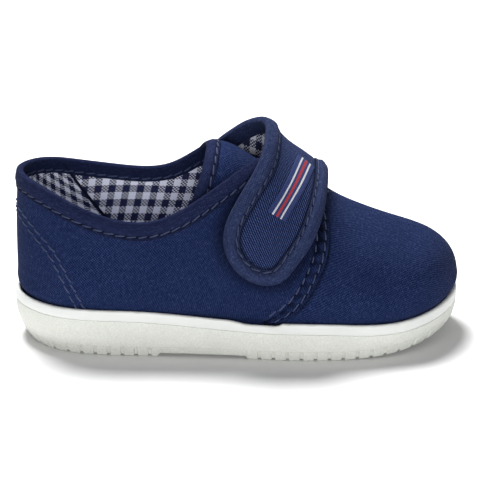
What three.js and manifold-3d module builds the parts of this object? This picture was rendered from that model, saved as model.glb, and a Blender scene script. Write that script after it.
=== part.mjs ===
// A toddler's low canvas sneaker for the right foot, with one hook-and-loop strap over the instep.
// Millimetres. X runs from heel to toe, +Y to the big-toe side, +Z up, with the sole's lugs on Z = 0.
//
// Every soft piece is cut from one form, the shape of the last. The form is a ring of ribs: each rib
// starts on the sole's outline, climbs the side wall and ends on the crest line along the top.
import * as THREE from "three";
import Module from "manifold-3d";

const wasm = await Module();
wasm.setup();

// Driving sizes.
const LENGTH = 147; // outsole, heel to toe
const HALF = LENGTH / 2;
const WALL = 1.8; // canvas and lining, sewn together
const GAP = 0.3; // between pieces that touch
const RIBS = 88; // ribs round the shoe
const RIM = 1.6; // rubber lip round the upper
const TUCK = RIM + GAP; // how far the upper turns in to enter the sole
const TUCK_RISE = 9; // height over which it turns in

// One row for each section, from heel to toe. lateral and medial are the half-widths of the outline,
// soleTop the height of the rubber edge, crest and crestY the top line of the form, spine where the
// rib from this foot meets that line, full the roundness of the wall, floor the footbed's underside.
const SECTIONS = [
  { x: -73.5, lateral: 0, medial: 0, soleTop: 17.0, crest: 86, crestY: 0, spine: -69, full: 0.0, floor: 9.0 },
  { x: -69, lateral: 12.6, medial: 12.8, soleTop: 16.8, crest: 85, crestY: 0, spine: -65.5, full: 0.0, floor: 9.0 },
  { x: -60, lateral: 20.6, medial: 20.9, soleTop: 16.4, crest: 83, crestY: 0, spine: -58, full: 0.0, floor: 9.0 },
  { x: -45, lateral: 24.5, medial: 24.6, soleTop: 15.8, crest: 80, crestY: 0, spine: -44.5, full: 0.0, floor: 9.0 },
  { x: -25, lateral: 25.3, medial: 24.0, soleTop: 15.1, crest: 75.5, crestY: 0, spine: -25, full: 0.03, floor: 8.4 },
  { x: 0, lateral: 27.3, medial: 23.2, soleTop: 14.0, crest: 71.5, crestY: 0.5, spine: -1, full: 0.08, floor: 7.2 },
  { x: 20, lateral: 29.2, medial: 25.2, soleTop: 13.1, crest: 57.2, crestY: 1.5, spine: 17, full: 0.12, floor: 6.2 },
  { x: 38, lateral: 28.4, medial: 28.5, soleTop: 12.3, crest: 43.8, crestY: 2.5, spine: 31, full: 0.2, floor: 5.9 },
  { x: 52, lateral: 25.0, medial: 28.9, soleTop: 12.3, crest: 38.6, crestY: 3.6, spine: 39.5, full: 0.25, floor: 6.3 },
  { x: 63, lateral: 17.0, medial: 24.9, soleTop: 12.9, crest: 35.4, crestY: 4.8, spine: 43.6, full: 0.25, floor: 7.5 },
  { x: 70, lateral: 7.2, medial: 18.0, soleTop: 13.9, crest: 33.2, crestY: 5.6, spine: 45.2, full: 0.25, floor: 8.7 },
  { x: 73.5, lateral: -6, medial: 6, soleTop: 14.8, crest: 32, crestY: 6, spine: 45.6, full: 0.25, floor: 9.4 },
];

// The collar and throat edge of the upper, as its height on each side.
const THROAT_X = 27; // front end of the throat
const TOPLINE = [
  { x: -73.5, lateral: 58.0, medial: 58.0 },
  { x: -66, lateral: 56.6, medial: 57.0 },
  { x: -54, lateral: 52.0, medial: 54.3 },
  { x: -42, lateral: 47.8, medial: 52.3 },
  { x: -32, lateral: 46.4, medial: 51.5 },
  { x: -22, lateral: 48.6, medial: 53.3 },
  { x: -13, lateral: 53.6, medial: 59.2 },
  { x: -5, lateral: 59.0, medial: 65.2 },
  { x: 3, lateral: 63.6, medial: 68.2 },
  { x: 9, lateral: 64.6, medial: 66.0 },
  { x: 16, lateral: 60.0, medial: 60.6 },
  { x: 22, lateral: 55.2, medial: 55.4 },
  { x: THROAT_X, lateral: 52.0, medial: 52.0 },
];

// The strap bridges the instep on a crest of its own. girth is the place round the form: -1 at the
// lateral sole edge, 0 on the crest, 1 at the medial sole edge. rear and front are the strap's edges.
const STRAP_THICKNESS = 2.6;
const STRAP_ROUND = { from: -0.6, to: -0.846 }; // the round lateral end
const STRAP_BRIDGE = { full: 0.1, none: 0.5 }; // past the crest it comes down on to the quarter
const STRAP_CREST = [
  { x: -75, crest: 89 },
  { x: -25, crest: 79.5 },
  { x: -5, crest: 76.8 },
  { x: 3, crest: 75.3 },
  { x: 9.5, crest: 70.8 },
  { x: 14, crest: 65.6 },
  { x: 20, crest: 60.7 },
  { x: 27, crest: 55.1 },
  { x: 31, crest: 52.3 },
  { x: 45, crest: 44.4 },
  { x: 75, crest: 34.5 },
];
const STRAP = [
  { girth: -0.846, rear: -7.5, front: 21.8 },
  { girth: -0.73, rear: -6.4, front: 20.8 },
  { girth: -0.6, rear: -2.1, front: 23.6 },
  { girth: -0.4, rear: 5.2, front: 27.1 },
  { girth: -0.2, rear: 8, front: 28.4 },
  { girth: 0, rear: 8.6, front: 28.7 },
  { girth: 0.2, rear: 5.2, front: 28.3 },
  { girth: 0.4, rear: -3.2, front: 26.4 },
  { girth: 0.62, rear: -10, front: 22.5 },
];

// The tongue is a gutter of cloth that has sunk a little below the strap. top is its crest, radius
// the curve across it, and lateral and medial its half-widths along that curve.
const TONGUE_THICKNESS = 1.8;
const TONGUE_SLANT = 2.4; // how far the free end's corners lie behind its crest
const TONGUE = [
  { x: -10.5, top: 66.0, radius: 16.2, lateral: 19.5, medial: 12.8 },
  { x: -6, top: 66.8, radius: 16.6, lateral: 19.0, medial: 12.2 },
  { x: 6, top: 60.6, radius: 18.5, lateral: 17.5, medial: 12.6 },
  { x: 18, top: 52.6, radius: 22, lateral: 15, medial: 13 },
  { x: 27, top: 47.2, radius: 25, lateral: 13, medial: 12 },
  { x: 33, top: 43.4, radius: 25, lateral: 11, medial: 10.5 },
];

// Sole: the wall is plumb down to the parting line, then draws in to the tread, most at the heel.
const PARTING_DROP = 3.5;
const DRAW_IN = { heel: 4.6, side: 2.2, toe: 2.4 };
const TREAD_DEPTH = 1.0;
const ARCH = { from: -26, to: 3 };
const TOE_SPRING = { from: 30, rise: 4.2 };
const GROOVE = 1.1;
const HEEL_GROOVES = { first: -65, count: 9, pitch: 4.5 };
const BALL_GROOVES = { first: 7.2, count: 13, pitch: 4.6 };
const INSOLE_THICKNESS = 2.6;

// A smooth curve through (at, value); with a period it closes on itself.
function smooth(at, value, period = 0) {
  const n = at.length;
  const step = (i) => (i < n - 1 ? at[i + 1] - at[i] : at[0] + period - at[n - 1]);
  const rise = (i) => (value[(i + 1) % n] - value[i]) / step(i);
  const slope = new Array(n).fill(0);
  for (let sweep = 0; sweep < 60; sweep++) {
    for (let i = 0; i < n; i++) {
      if (!period && i === 0) {
        slope[0] = (3 * rise(0) - slope[1]) / 2;
      } else if (!period && i === n - 1) {
        slope[i] = (3 * rise(i - 1) - slope[i - 1]) / 2;
      } else {
        const before = (i + n - 1) % n;
        const [h0, h1] = [step(before), step(i)];
        const pull = 3 * (h1 * rise(before) + h0 * rise(i));
        slope[i] = (pull - h1 * slope[before] - h0 * slope[(i + 1) % n]) / (2 * (h0 + h1));
      }
    }
  }
  return (x) => {
    let i = n - 1;
    while (i > 0 && x < at[i]) i--;
    if (!period) i = Math.min(i, n - 2);
    const h = step(i);
    const u = (x - at[i]) / h;
    const [a, b] = [value[i], value[(i + 1) % n]];
    const [ma, mb] = [slope[i] * h, slope[(i + 1) % n] * h];
    return a + u * (ma + u * (3 * (b - a) - 2 * ma - mb + u * (2 * (a - b) + ma + mb)));
  };
}

function column(table, key, by = "x") {
  const at = table.map((row) => row[by]);
  return smooth(at, table.map((row) => row[key]));
}

const soleTop = column(SECTIONS, "soleTop");
const crest = column(SECTIONS, "crest");
const crestY = column(SECTIONS, "crestY");
const spine = column(SECTIONS, "spine");
const full = column(SECTIONS, "full");
const floor = column(SECTIONS, "floor");
const strapCrest = column(STRAP_CREST, "crest");
const toplineLateral = column(TOPLINE, "lateral");
const toplineMedial = column(TOPLINE, "medial");

// The outline's sideways place at angle phi: 0 at the heel, pi at the toe, lateral side first.
const angleOf = (x) => Math.acos(THREE.MathUtils.clamp(-x / HALF, -1, 1));
const inner = SECTIONS.slice(1, -1);
const outlineAngles = [0, ...inner.map((r) => angleOf(r.x)), Math.PI];
const outlineSides = [0, ...inner.map((r) => -r.lateral), SECTIONS.at(-1).medial];
for (const row of [...inner].reverse()) {
  outlineAngles.push(2 * Math.PI - angleOf(row.x));
  outlineSides.push(row.medial);
}
const outlineY = smooth(outlineAngles, outlineSides, 2 * Math.PI);

const foldX = (phi) => -HALF * Math.cos(phi);

// The outline drawn in by some millimetres, or by a size that changes round it.
function foot(phi, inset) {
  const by = typeof inset === "function" ? inset(phi) : inset;
  const turn = 1e-3;
  const wrap = (a) => (a + 2 * Math.PI) % (2 * Math.PI);
  const along = new THREE.Vector2(
    foldX(phi + turn) - foldX(phi - turn),
    outlineY(wrap(phi + turn)) - outlineY(wrap(phi - turn)),
  ).normalize();
  return new THREE.Vector2(foldX(phi) - along.y * by, outlineY(wrap(phi)) + along.x * by);
}

// A point of the form: theta is 0 on the sole's edge and a right angle on the crest.
function form(phi, theta, top = crest) {
  const x0 = foldX(phi);
  const lift = Math.sin(theta);
  const spread = Math.cos(theta) * (1 + full(x0) * lift * lift);
  const base = soleTop(x0);
  const middle = spine(x0);
  const rise = (top(middle + (x0 - middle) * spread) - base) * lift;
  const inset = TUCK * Math.max(0, 1 - rise / TUCK_RISE) ** 2;
  const edge = foot(phi, inset);
  const x = middle + (edge.x - middle) * spread;
  const side = crestY(middle);
  return new THREE.Vector3(x, side + (edge.y - side) * spread, base + (top(x) - base) * lift);
}

// The form's outward normal.
function normal(phi, theta, top = crest) {
  const step = 1e-3;
  if (theta > Math.PI / 2 - 1e-6) {
    const x = spine(foldX(phi));
    return new THREE.Vector3(-(top(x + step) - top(x - step)) / (2 * step), 0, 1).normalize();
  }
  const low = Math.max(0, theta - step);
  const along = form(phi + step, theta, top).sub(form(phi - step, theta, top));
  const up = form(phi, theta + step, top).sub(form(phi, low, top));
  return along.cross(up).normalize();
}

const formAt = (phi, theta, off, top = crest) =>
  form(phi, theta, top).addScaledVector(normal(phi, theta, top), off);

// Where the rib at phi is cut by the collar or throat; a right angle where it runs to the crest.
function ribEnd(phi) {
  const topline = phi <= Math.PI ? toplineLateral : toplineMedial;
  if (spine(foldX(phi)) >= THROAT_X) return Math.PI / 2;
  let [low, high] = [0, Math.PI / 2];
  for (let i = 0; i < 40; i++) {
    const middle = (low + high) / 2;
    const p = form(phi, middle);
    if (p.z < topline(p.x)) low = middle;
    else high = middle;
  }
  return low;
}

// A closed skin built from quads, with its shared corners welded.
class Skin {
  constructor() {
    this.points = [];
    this.known = new Map();
    this.faces = [];
  }

  corner(p) {
    const key = [p.x, p.y, p.z].map((v) => Math.round(v * 1e3)).join();
    if (!this.known.has(key)) {
      this.known.set(key, this.points.length / 3);
      this.points.push(p.x, p.y, p.z);
    }
    return this.known.get(key);
  }

  face(...points) {
    const ids = points.map((p) => this.corner(p));
    for (let i = 1; i < ids.length - 1; i++) {
      const [a, b, c] = [ids[0], ids[i], ids[i + 1]];
      if (a !== b && b !== c && a !== c) this.faces.push(a, b, c);
    }
  }

  // Rows of points; each row closes on itself where round is true.
  rows(rows, round) {
    for (let j = 0; j < rows.length - 1; j++) {
      const n = rows[j].length;
      for (let i = 0; i < (round ? n : n - 1); i++) {
        const k = (i + 1) % n;
        this.face(rows[j][i], rows[j][k], rows[j + 1][k], rows[j + 1][i]);
      }
    }
  }

  geometry() {
    const made = new THREE.BufferGeometry();
    made.setAttribute("position", new THREE.Float32BufferAttribute(this.points, 3));
    made.setIndex(this.faces);
    return made;
  }
}

const angles = Array.from({ length: RIBS }, (_, i) => (2 * Math.PI * i) / RIBS);
const ring = (place) => angles.map(place);

// ---- Outsole: one moulding with a lip round the upper, an arch and cross grooves ----

function treadHeight(x) {
  const spring = Math.max(0, (x - TOE_SPRING.from) / (HALF - TOE_SPRING.from));
  return TOE_SPRING.rise * spring * spring;
}

function drawIn(phi) {
  const { heel, side, toe } = DRAW_IN;
  const end = Math.cos(phi) > 0 ? heel : toe;
  return side + (end - side) * Math.cos(phi) ** 4;
}

// A point of the sole at a share of the way in from the wall to the middle line.
function plate(phi, inset, share, height) {
  const edge = foot(phi, inset);
  const middle = new THREE.Vector2(0.7 * foldX(phi), crestY(foldX(phi)));
  const p = edge.lerp(middle, share);
  return new THREE.Vector3(p.x, p.y, height(p.x));
}

// Rings of a level face, from its edge to its middle line.
const inward = (inset, height) =>
  [0, 1 / 3, 2 / 3, 1].map((share) => ring((phi) => plate(phi, inset, share, height)));

function solidOf(geometry) {
  return new wasm.Manifold(
    new wasm.Mesh({
      numProp: 3,
      vertProperties: geometry.getAttribute("position").array,
      triVerts: new Uint32Array(geometry.index.array),
    }),
  );
}

function geometryOf(solid) {
  const mesh = solid.getMesh();
  const made = new THREE.BufferGeometry();
  made.setAttribute("position", new THREE.BufferAttribute(mesh.vertProperties, 3));
  made.setIndex(new THREE.BufferAttribute(mesh.triVerts, 1));
  return made;
}

function cutter(x, width, height) {
  const depth = LENGTH;
  const box = new THREE.BoxGeometry(width, depth, 2 * height);
  box.translate(x, 0, 0);
  const skin = new Skin();
  const at = box.getAttribute("position");
  for (let i = 0; i < box.index.count; i += 3) {
    const corners = [0, 1, 2].map((k) => new THREE.Vector3().fromBufferAttribute(at, box.index.getX(i + k)));
    skin.face(...corners);
  }
  return solidOf(skin.geometry());
}

function outsole() {
  const wall = (inset, height) => ring((phi) => {
    const p = foot(phi, inset);
    return new THREE.Vector3(p.x, p.y, height(foldX(phi)));
  });
  const parting = (x) => soleTop(x) - PARTING_DROP;
  const between = (share) => (x) => treadHeight(x) + share * (parting(x) - treadHeight(x));
  const skin = new Skin();
  skin.rows([
    ...inward(drawIn, treadHeight).reverse(),
    wall((phi) => 0.36 * drawIn(phi), between(0.35)),
    wall(0, parting),
    wall(0, (x) => soleTop(x) - 0.8),
    wall(0.7, soleTop),
    wall(RIM, soleTop),
    ...inward(RIM, floor),
  ], true);
  let sole = solidOf(skin.geometry());
  const archLength = ARCH.to - ARCH.from;
  sole = sole.subtract(cutter(ARCH.from + archLength / 2, archLength, TREAD_DEPTH));
  for (const { first, count, pitch } of [HEEL_GROOVES, BALL_GROOVES]) {
    for (let i = 0; i < count; i++) {
      const x = first + i * pitch;
      sole = sole.subtract(cutter(x, GROOVE, treadHeight(x) + TREAD_DEPTH));
    }
  }
  return geometryOf(sole);
}

// ---- Insole: a flat pad inside the upper ----

function insole() {
  const inset = TUCK + WALL + GAP;
  const low = (x) => floor(x) + GAP;
  const high = (x) => floor(x) + GAP + INSOLE_THICKNESS;
  const skin = new Skin();
  skin.rows([...inward(inset, low).reverse(), ...inward(inset, high)], true);
  return skin.geometry();
}

// ---- Upper: one hollow wall, open at the collar, throat and bottom ----

function upper() {
  const rows = 9;
  const ends = angles.map(ribEnd);
  const hem = (inset) => ring((phi) => {
    const p = foot(phi, inset);
    return new THREE.Vector3(p.x, p.y, floor(foldX(phi)) + GAP);
  });
  const wall = (j, off) => angles.map((phi, i) => formAt(phi, (ends[i] * j) / rows, -off));
  const levels = Array.from({ length: rows + 1 }, (_, j) => j);
  const outside = [hem(TUCK), ...levels.map((j) => wall(j, 0))];
  const inside = [hem(TUCK + WALL), ...levels.map((j) => wall(j, WALL))];
  const skin = new Skin();
  skin.rows(outside, true);
  skin.rows([...inside].reverse(), true);
  skin.rows([inside[0], outside[0]], true);
  for (let i = 0; i < RIBS; i++) {
    const k = (i + 1) % RIBS;
    const open = (n) => ends[n] < Math.PI / 2 - 1e-6;
    if (open(i) || open(k)) {
      const [a, b] = [outside.at(-1), inside.at(-1)];
      skin.face(a[i], a[k], b[k], b[i]);
    }
  }
  return skin.geometry();
}

// A sheet of cloth with a thickness, from a grid of points on its upper face.
function sheet(outside, inside) {
  const skin = new Skin();
  skin.rows(outside, false);
  skin.rows([...inside].reverse(), false);
  const last = outside.length - 1;
  const end = outside[0].length - 1;
  skin.rows([inside[0], outside[0]], false);
  skin.rows([outside[last], inside[last]], false);
  for (let j = 0; j < last; j++) {
    skin.face(outside[j][0], outside[j + 1][0], inside[j + 1][0], inside[j][0]);
    skin.face(outside[j + 1][end], outside[j][end], inside[j][end], inside[j + 1][end]);
  }
  return skin.geometry();
}

// ---- Strap: sewn on the medial side, over the instep, round end on the lateral side ----

function onStrap(girth, x, off) {
  const theta = (1 - Math.abs(girth)) * (Math.PI / 2);
  const bridge = 1 - THREE.MathUtils.smoothstep(girth, STRAP_BRIDGE.full, STRAP_BRIDGE.none);
  const top = (at) => THREE.MathUtils.lerp(crest(at), strapCrest(at), bridge);
  const phiOf = (half) => (girth <= 0 ? half : 2 * Math.PI - half);
  let [low, high] = [0, Math.PI];
  for (let i = 0; i < 40; i++) {
    const middle = (low + high) / 2;
    if (form(phiOf(middle), theta, top).x < x) low = middle;
    else high = middle;
  }
  return formAt(phiOf(low), theta, off, top);
}

function strap() {
  const rear = column(STRAP, "rear", "girth");
  const front = column(STRAP, "front", "girth");
  const across = 10;
  const { from, to } = STRAP_ROUND;
  const girths = [];
  for (let i = 0; i < 7; i++) {
    girths.push(from + (to - from) * Math.cos((i * Math.PI) / 14));
  }
  for (let i = 0; i <= 12; i++) {
    girths.push(from + ((STRAP.at(-1).girth - from) * i) / 12);
  }
  const face = (off) => girths.map((girth) => {
    const round = Math.min(1, Math.max(0, (girth - from) / (to - from)));
    const width = Math.sqrt(Math.max(0, 1 - round * round));
    const middle = (rear(girth) + front(girth)) / 2;
    const half = ((front(girth) - rear(girth)) / 2) * width;
    return Array.from({ length: across + 1 }, (_, i) => (
      onStrap(girth, middle + half * ((2 * i) / across - 1), off)
    ));
  });
  return sheet(face(GAP + STRAP_THICKNESS), face(GAP));
}

// ---- Tongue: an arched sheet under the strap, sewn in at the throat ----

function tongue() {
  const top = column(TONGUE, "top");
  const radius = column(TONGUE, "radius");
  const arcs = [column(TONGUE, "lateral"), column(TONGUE, "medial")];
  const [from, to] = [TONGUE[0].x, TONGUE.at(-1).x];
  const [lengths, across] = [16, 14];
  const face = (off) => Array.from({ length: lengths + 1 }, (_, j) => {
    const along = j / lengths;
    const x = from + (to - from) * along;
    const lean = new THREE.Vector3(-(top(x + 0.5) - top(x - 0.5)), 0, 1).normalize();
    return Array.from({ length: across + 1 }, (__, i) => {
      const side = (2 * i) / across - 1;
      const angle = (side * arcs[side < 0 ? 0 : 1](x)) / radius(x);
      const out = new THREE.Vector3(0, Math.sin(angle), 0).addScaledVector(lean, Math.cos(angle));
      const back = TONGUE_SLANT * (1 - along) * side * side;
      const drop = radius(x) * (1 - Math.cos(angle));
      const p = new THREE.Vector3(x - back, crestY(x) + radius(x) * Math.sin(angle), top(x) - drop);
      return p.addScaledVector(out, -off);
    });
  });
  return sheet(face(TONGUE_THICKNESS), face(0));
}

// ---- The shoe ----

const rubber = new THREE.MeshStandardMaterial({ color: 0xe9ebe6, roughness: 0.55, metalness: 0 });
const canvas = new THREE.MeshStandardMaterial({ color: 0x222d58, roughness: 0.9, metalness: 0 });
const lining = new THREE.MeshStandardMaterial({ color: 0xd8d9e2, roughness: 0.95, metalness: 0 });

const shoe = new THREE.Group();
for (const [name, geometry, material] of [
  ["outsole", outsole(), rubber],
  ["insole", insole(), lining],
  ["upper", upper(), canvas],
  ["tongue", tongue(), canvas],
  ["strap", strap(), canvas],
]) {
  const mesh = new THREE.Mesh(geometry, material);
  mesh.name = name;
  shoe.add(mesh);
}

// The middle of the whole shoe's width goes on Y = 0.
shoe.position.y = -new THREE.Box3().setFromObject(shoe).getCenter(new THREE.Vector3()).y;

export default shoe;
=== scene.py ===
# A toddler's canvas sneaker for the right foot: navy canvas, one strap, a white rubber sole.
import math

import bmesh
import bpy
import numpy as np
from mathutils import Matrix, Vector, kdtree


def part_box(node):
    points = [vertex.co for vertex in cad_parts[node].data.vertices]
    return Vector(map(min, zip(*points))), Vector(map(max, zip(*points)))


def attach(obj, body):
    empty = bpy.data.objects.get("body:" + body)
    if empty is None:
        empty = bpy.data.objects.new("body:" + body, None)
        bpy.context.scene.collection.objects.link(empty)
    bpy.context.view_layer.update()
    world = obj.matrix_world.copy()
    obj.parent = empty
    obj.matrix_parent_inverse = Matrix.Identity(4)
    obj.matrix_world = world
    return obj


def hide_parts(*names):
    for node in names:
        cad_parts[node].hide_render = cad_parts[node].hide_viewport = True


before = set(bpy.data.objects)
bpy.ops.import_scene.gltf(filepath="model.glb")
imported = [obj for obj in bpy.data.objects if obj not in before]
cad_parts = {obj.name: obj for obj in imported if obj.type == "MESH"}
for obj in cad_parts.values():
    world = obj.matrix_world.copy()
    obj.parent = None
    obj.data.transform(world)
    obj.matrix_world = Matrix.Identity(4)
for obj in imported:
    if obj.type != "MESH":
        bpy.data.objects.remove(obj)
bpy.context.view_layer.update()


# ---- Camera, floor and light ----
# A long lens looks a little down on the outer side of the shoe, which stands on a plain pale floor.
# One soft light hangs high behind it to the left, and a bigger one stands low in front.

AIM = (0.0041, 0.00095, 0.0287)
LOOK_DOWN = math.radians(21)
DISTANCE = 1.157
LENS = 250
FLOOR_SIZE = 12
PAPER = (0.84, 0.84, 0.84, 1)
SKY = 0.21
LIT_PLACE = (0, 0, 0.03)  # both lights face the middle of the shoe

scene = bpy.context.scene
scene.view_settings.view_transform = "Standard"


def put(name, data):
    made = bpy.data.objects.new(name, data)
    scene.collection.objects.link(made)
    return made


camera = put("camera", bpy.data.cameras.new("camera"))
camera.data.lens = LENS
camera.data.clip_end = 30
camera.location = (
    AIM[0],
    AIM[1] - DISTANCE * math.cos(LOOK_DOWN),
    AIM[2] + DISTANCE * math.sin(LOOK_DOWN),
)
camera.rotation_euler = (math.pi / 2 - LOOK_DOWN, 0, 0)
scene.camera = camera


def node(tree, kind, sockets=None, **settings):
    """One node; a socket takes a number, a colour or another node's output."""
    made = tree.nodes.new(kind)
    for key, value in settings.items():
        setattr(made, key, value)
    for key, value in (sockets or {}).items():
        if isinstance(value, bpy.types.NodeSocket):
            tree.links.new(value, made.inputs[key])
        else:
            made.inputs[key].default_value = value
    return made


def finish_named(name, **sockets):
    """A new material with its shader and its node tree."""
    made = bpy.data.materials.new(name)
    made.use_nodes = True
    shader = made.node_tree.nodes["Principled BSDF"]
    for key, value in sockets.items():
        shader.inputs[key.replace("_", " ")].default_value = value
    return made, shader, made.node_tree


half = FLOOR_SIZE / 2
floor_corners = [(-half, -half, 0), (half, -half, 0), (half, half, 0), (-half, half, 0)]
floor_mesh = bpy.data.meshes.new("floor")
floor_mesh.from_pydata(floor_corners, [], [(0, 1, 2, 3)])
floor = put("floor", floor_mesh)
paper, _, _ = finish_named("pale paper", Base_Color=PAPER, Roughness=1.0, Specular_IOR_Level=0.0)
floor_mesh.materials.append(paper)

scene.world = bpy.data.worlds.new("studio")
scene.world.use_nodes = True
sky = scene.world.node_tree.nodes["Background"]
sky.inputs["Color"].default_value = (1, 1, 1, 1)
sky.inputs["Strength"].default_value = SKY


def softbox(name, place, size, watts):
    """A round soft light that faces the shoe."""
    light = put(name, bpy.data.lights.new(name, "AREA"))
    light.data.shape = "DISK"
    light.data.size = size
    light.data.energy = watts
    light.location = place
    way = np.array(LIT_PLACE) - np.array(place)
    turn = math.atan2(way[1], way[0])
    dip = math.atan2(way[2], math.hypot(way[0], way[1]))
    light.rotation_euler = (math.pi / 2 + dip, 0, turn - math.pi / 2)


softbox("key softbox", place=(-0.17, 0.37, 0.85), size=0.4, watts=17.5)
softbox("fill softbox", place=(0.02, -1.3, 0.24), size=0.7, watts=11.5)


# ---- Outsole ----
# One white rubber moulding: a smooth band over a fine stippled wall, with the mould's parting line
# between them, a rounded lip round the cloth, and cross-cut lugs under the heel and the ball.

HALF_LENGTH = 73.5
RIM = 1.6
TUCK = 1.9  # how far the cloth turns in to enter the sole
SECTIONS = np.array([
    # x, outer side, inner side, sole's top, crest, crest's y, spine, fullness, footbed
    (-73.5, 0, 0, 17.0, 86, 0, -69, 0.0, 9.0),
    (-69, 12.6, 12.8, 16.8, 85, 0, -65.5, 0.0, 9.0),
    (-60, 20.6, 20.9, 16.4, 83, 0, -58, 0.0, 9.0),
    (-45, 24.5, 24.6, 15.8, 80, 0, -44.5, 0.0, 9.0),
    (-25, 25.3, 24.0, 15.1, 75.5, 0, -25, 0.03, 8.4),
    (0, 27.3, 23.2, 14.0, 71.5, 0.5, -1, 0.08, 7.2),
    (20, 29.2, 25.2, 13.1, 57.2, 1.5, 17, 0.12, 6.2),
    (38, 28.4, 28.5, 12.3, 43.8, 2.5, 31, 0.2, 5.9),
    (52, 25.0, 28.9, 12.3, 38.6, 3.6, 39.5, 0.25, 6.3),
    (63, 17.0, 24.9, 12.9, 35.4, 4.8, 43.6, 0.25, 7.5),
    (70, 7.2, 18.0, 13.9, 33.2, 5.6, 45.2, 0.25, 8.7),
    (73.5, -6, 6, 14.8, 32, 6, 45.6, 0.25, 9.4),
])
PARTING_DROP = 3.5
DRAW_IN = {"heel": 4.6, "side": 2.2, "toe": 2.4}
ARCH = (-26, 3)
TREAD_DEPTH = 1.0
TOE_SPRING = {"start": 30, "rise": 4.2}
ARCH_SLOPE = 0.6
GROOVE_HALF = 0.55
GROOVES = ((-65, 9, 4.5), (7.2, 13, 4.6))  # first, how many, pitch
GROOVE_MOUTH = 0.55  # the grooves are shallower where they open at the side
NICK_DEPTH = 0.4  # and run up it as faint flutes
NICK_HEIGHT = 3.6
HEEL_FULLNESS = 0.8  # the wall stands out a little more round the heel
LIP_SWELLS = ((1.1, -35, 22), (0.9, 30, 16))  # the lip is higher behind the waist and under the seam
LIP_DIP = {"depth": 0.9, "start": (-3, 4), "end": (13.2, 14.4)}  # and lower between, on the outer side
LIP_INSIDE = 1.4  # how far below its top edge the lip's inner wall starts
WALL_SHARES = (0.012, 0.03, 0.06, 0.1, 0.15, 0.2, 0.26, 0.31, 0.35, 0.4, 0.47, 0.56, 0.66, 0.76, 0.86, 0.95)
BAND = (  # above the parting line, in from the side
    (-0.22, 0.14), (-0.1, 0.42), (0.06, 0.42), (0.16, 0.06), (0.4, 0.0), (1.2, -0.04), (2.0, -0.04),
)
RUBBER_WALL = (0.69, 0.705, 0.655, 1)
RUBBER_BAND = (0.70, 0.715, 0.70, 1)
LIP = (  # above the sole's top edge, in from its side
    (-0.8, 0.0), (-0.5, 0.06), (-0.24, 0.2), (-0.06, 0.42), (0.0, 0.72),
    (-0.03, 1.05), (-0.14, 1.35), (-0.5, RIM),
)


def smooth(at, value, period=0.0):
    """A smooth curve through a table's rows; with a period it closes on itself."""
    at, value = np.asarray(at, float), np.asarray(value, float)
    n = len(at)
    step = np.append(np.diff(at), at[0] + period - at[-1])
    rise = np.append(np.diff(value), value[0] - value[-1]) / step
    slope = np.zeros(n)
    for _ in range(60):
        for i in range(n):
            if not period and i == 0:
                slope[0] = (3 * rise[0] - slope[1]) / 2
            elif not period and i == n - 1:
                slope[i] = (3 * rise[i - 1] - slope[i - 1]) / 2
            else:
                before, after = step[i - 1], step[i]
                pull = 3 * (after * rise[i - 1] + before * rise[i])
                pull -= after * slope[i - 1] + before * slope[(i + 1) % n]
                slope[i] = pull / (2 * (before + after))

    def curve(x):
        x = np.asarray(x, float)
        i = np.clip(np.searchsorted(at, x, side="right") - 1, 0, n - 1 if period else n - 2)
        u = (x - at[i]) / step[i]
        a, b = value[i], value[(i + 1) % n]
        ma, mb = slope[i] * step[i], slope[(i + 1) % n] * step[i]
        return a + u * (ma + u * (3 * (b - a) - 2 * ma - mb + u * (2 * (a - b) + ma + mb)))

    return curve


def ease(low, high, x):
    """From 0 at the low place to 1 at the high one, smoothly."""
    u = np.clip((np.asarray(x, float) - low) / (high - low), 0, 1)
    return u * u * (3 - 2 * u)


def near(distance, reach):
    """One at the place itself, fading away over the reach."""
    return np.exp(-(distance / reach) ** 2)


sole_top, crest, crest_y, spine, full, footbed = (smooth(SECTIONS[:, 0], SECTIONS[:, k]) for k in range(3, 9))
inner_rows = SECTIONS[1:-1]
inner_angles = np.arccos(-inner_rows[:, 0] / HALF_LENGTH)
outline_y = smooth(
    np.concatenate([[0], inner_angles, [math.pi], 2 * math.pi - inner_angles[::-1]]),
    np.concatenate([[0], -inner_rows[:, 1], [SECTIONS[-1, 2]], inner_rows[::-1, 2]]),
    2 * math.pi,
)


def fold_x(rib):
    """Where along the shoe a rib stands."""
    return -HALF_LENGTH * np.cos(rib)


def foot(rib, inset=0.0):
    """The outline at a rib, drawn in. Ribs run from 0 at the heel over the outer side to pi at the toe."""
    turn = 1e-3
    wrap = 2 * math.pi
    dx = fold_x(rib + turn) - fold_x(rib - turn)
    dy = outline_y((rib + turn) % wrap) - outline_y((rib - turn) % wrap)
    size = np.hypot(dx, dy)
    return fold_x(rib) - dy / size * inset, outline_y(rib % wrap) + dx / size * inset


# The last's axes are shifted sideways so that the whole shoe's width is centred. Its widest place is
# one of the 88 ribs that the sole was laid out with.
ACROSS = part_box("outsole")[1].y * 1000 - foot(np.arange(88) * math.pi / 44)[1].max()


def rib_at(x, reach, outer_side):
    """The rib whose place along the shoe, reach(rib), is x."""
    low, high = np.zeros(np.shape(x)), np.full(np.shape(x), math.pi)
    for _ in range(34):
        middle = (low + high) / 2
        short = reach(np.where(outer_side, middle, 2 * math.pi - middle)) < x
        low, high = np.where(short, middle, low), np.where(short, high, middle)
    return np.where(outer_side, low, 2 * math.pi - low)


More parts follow.
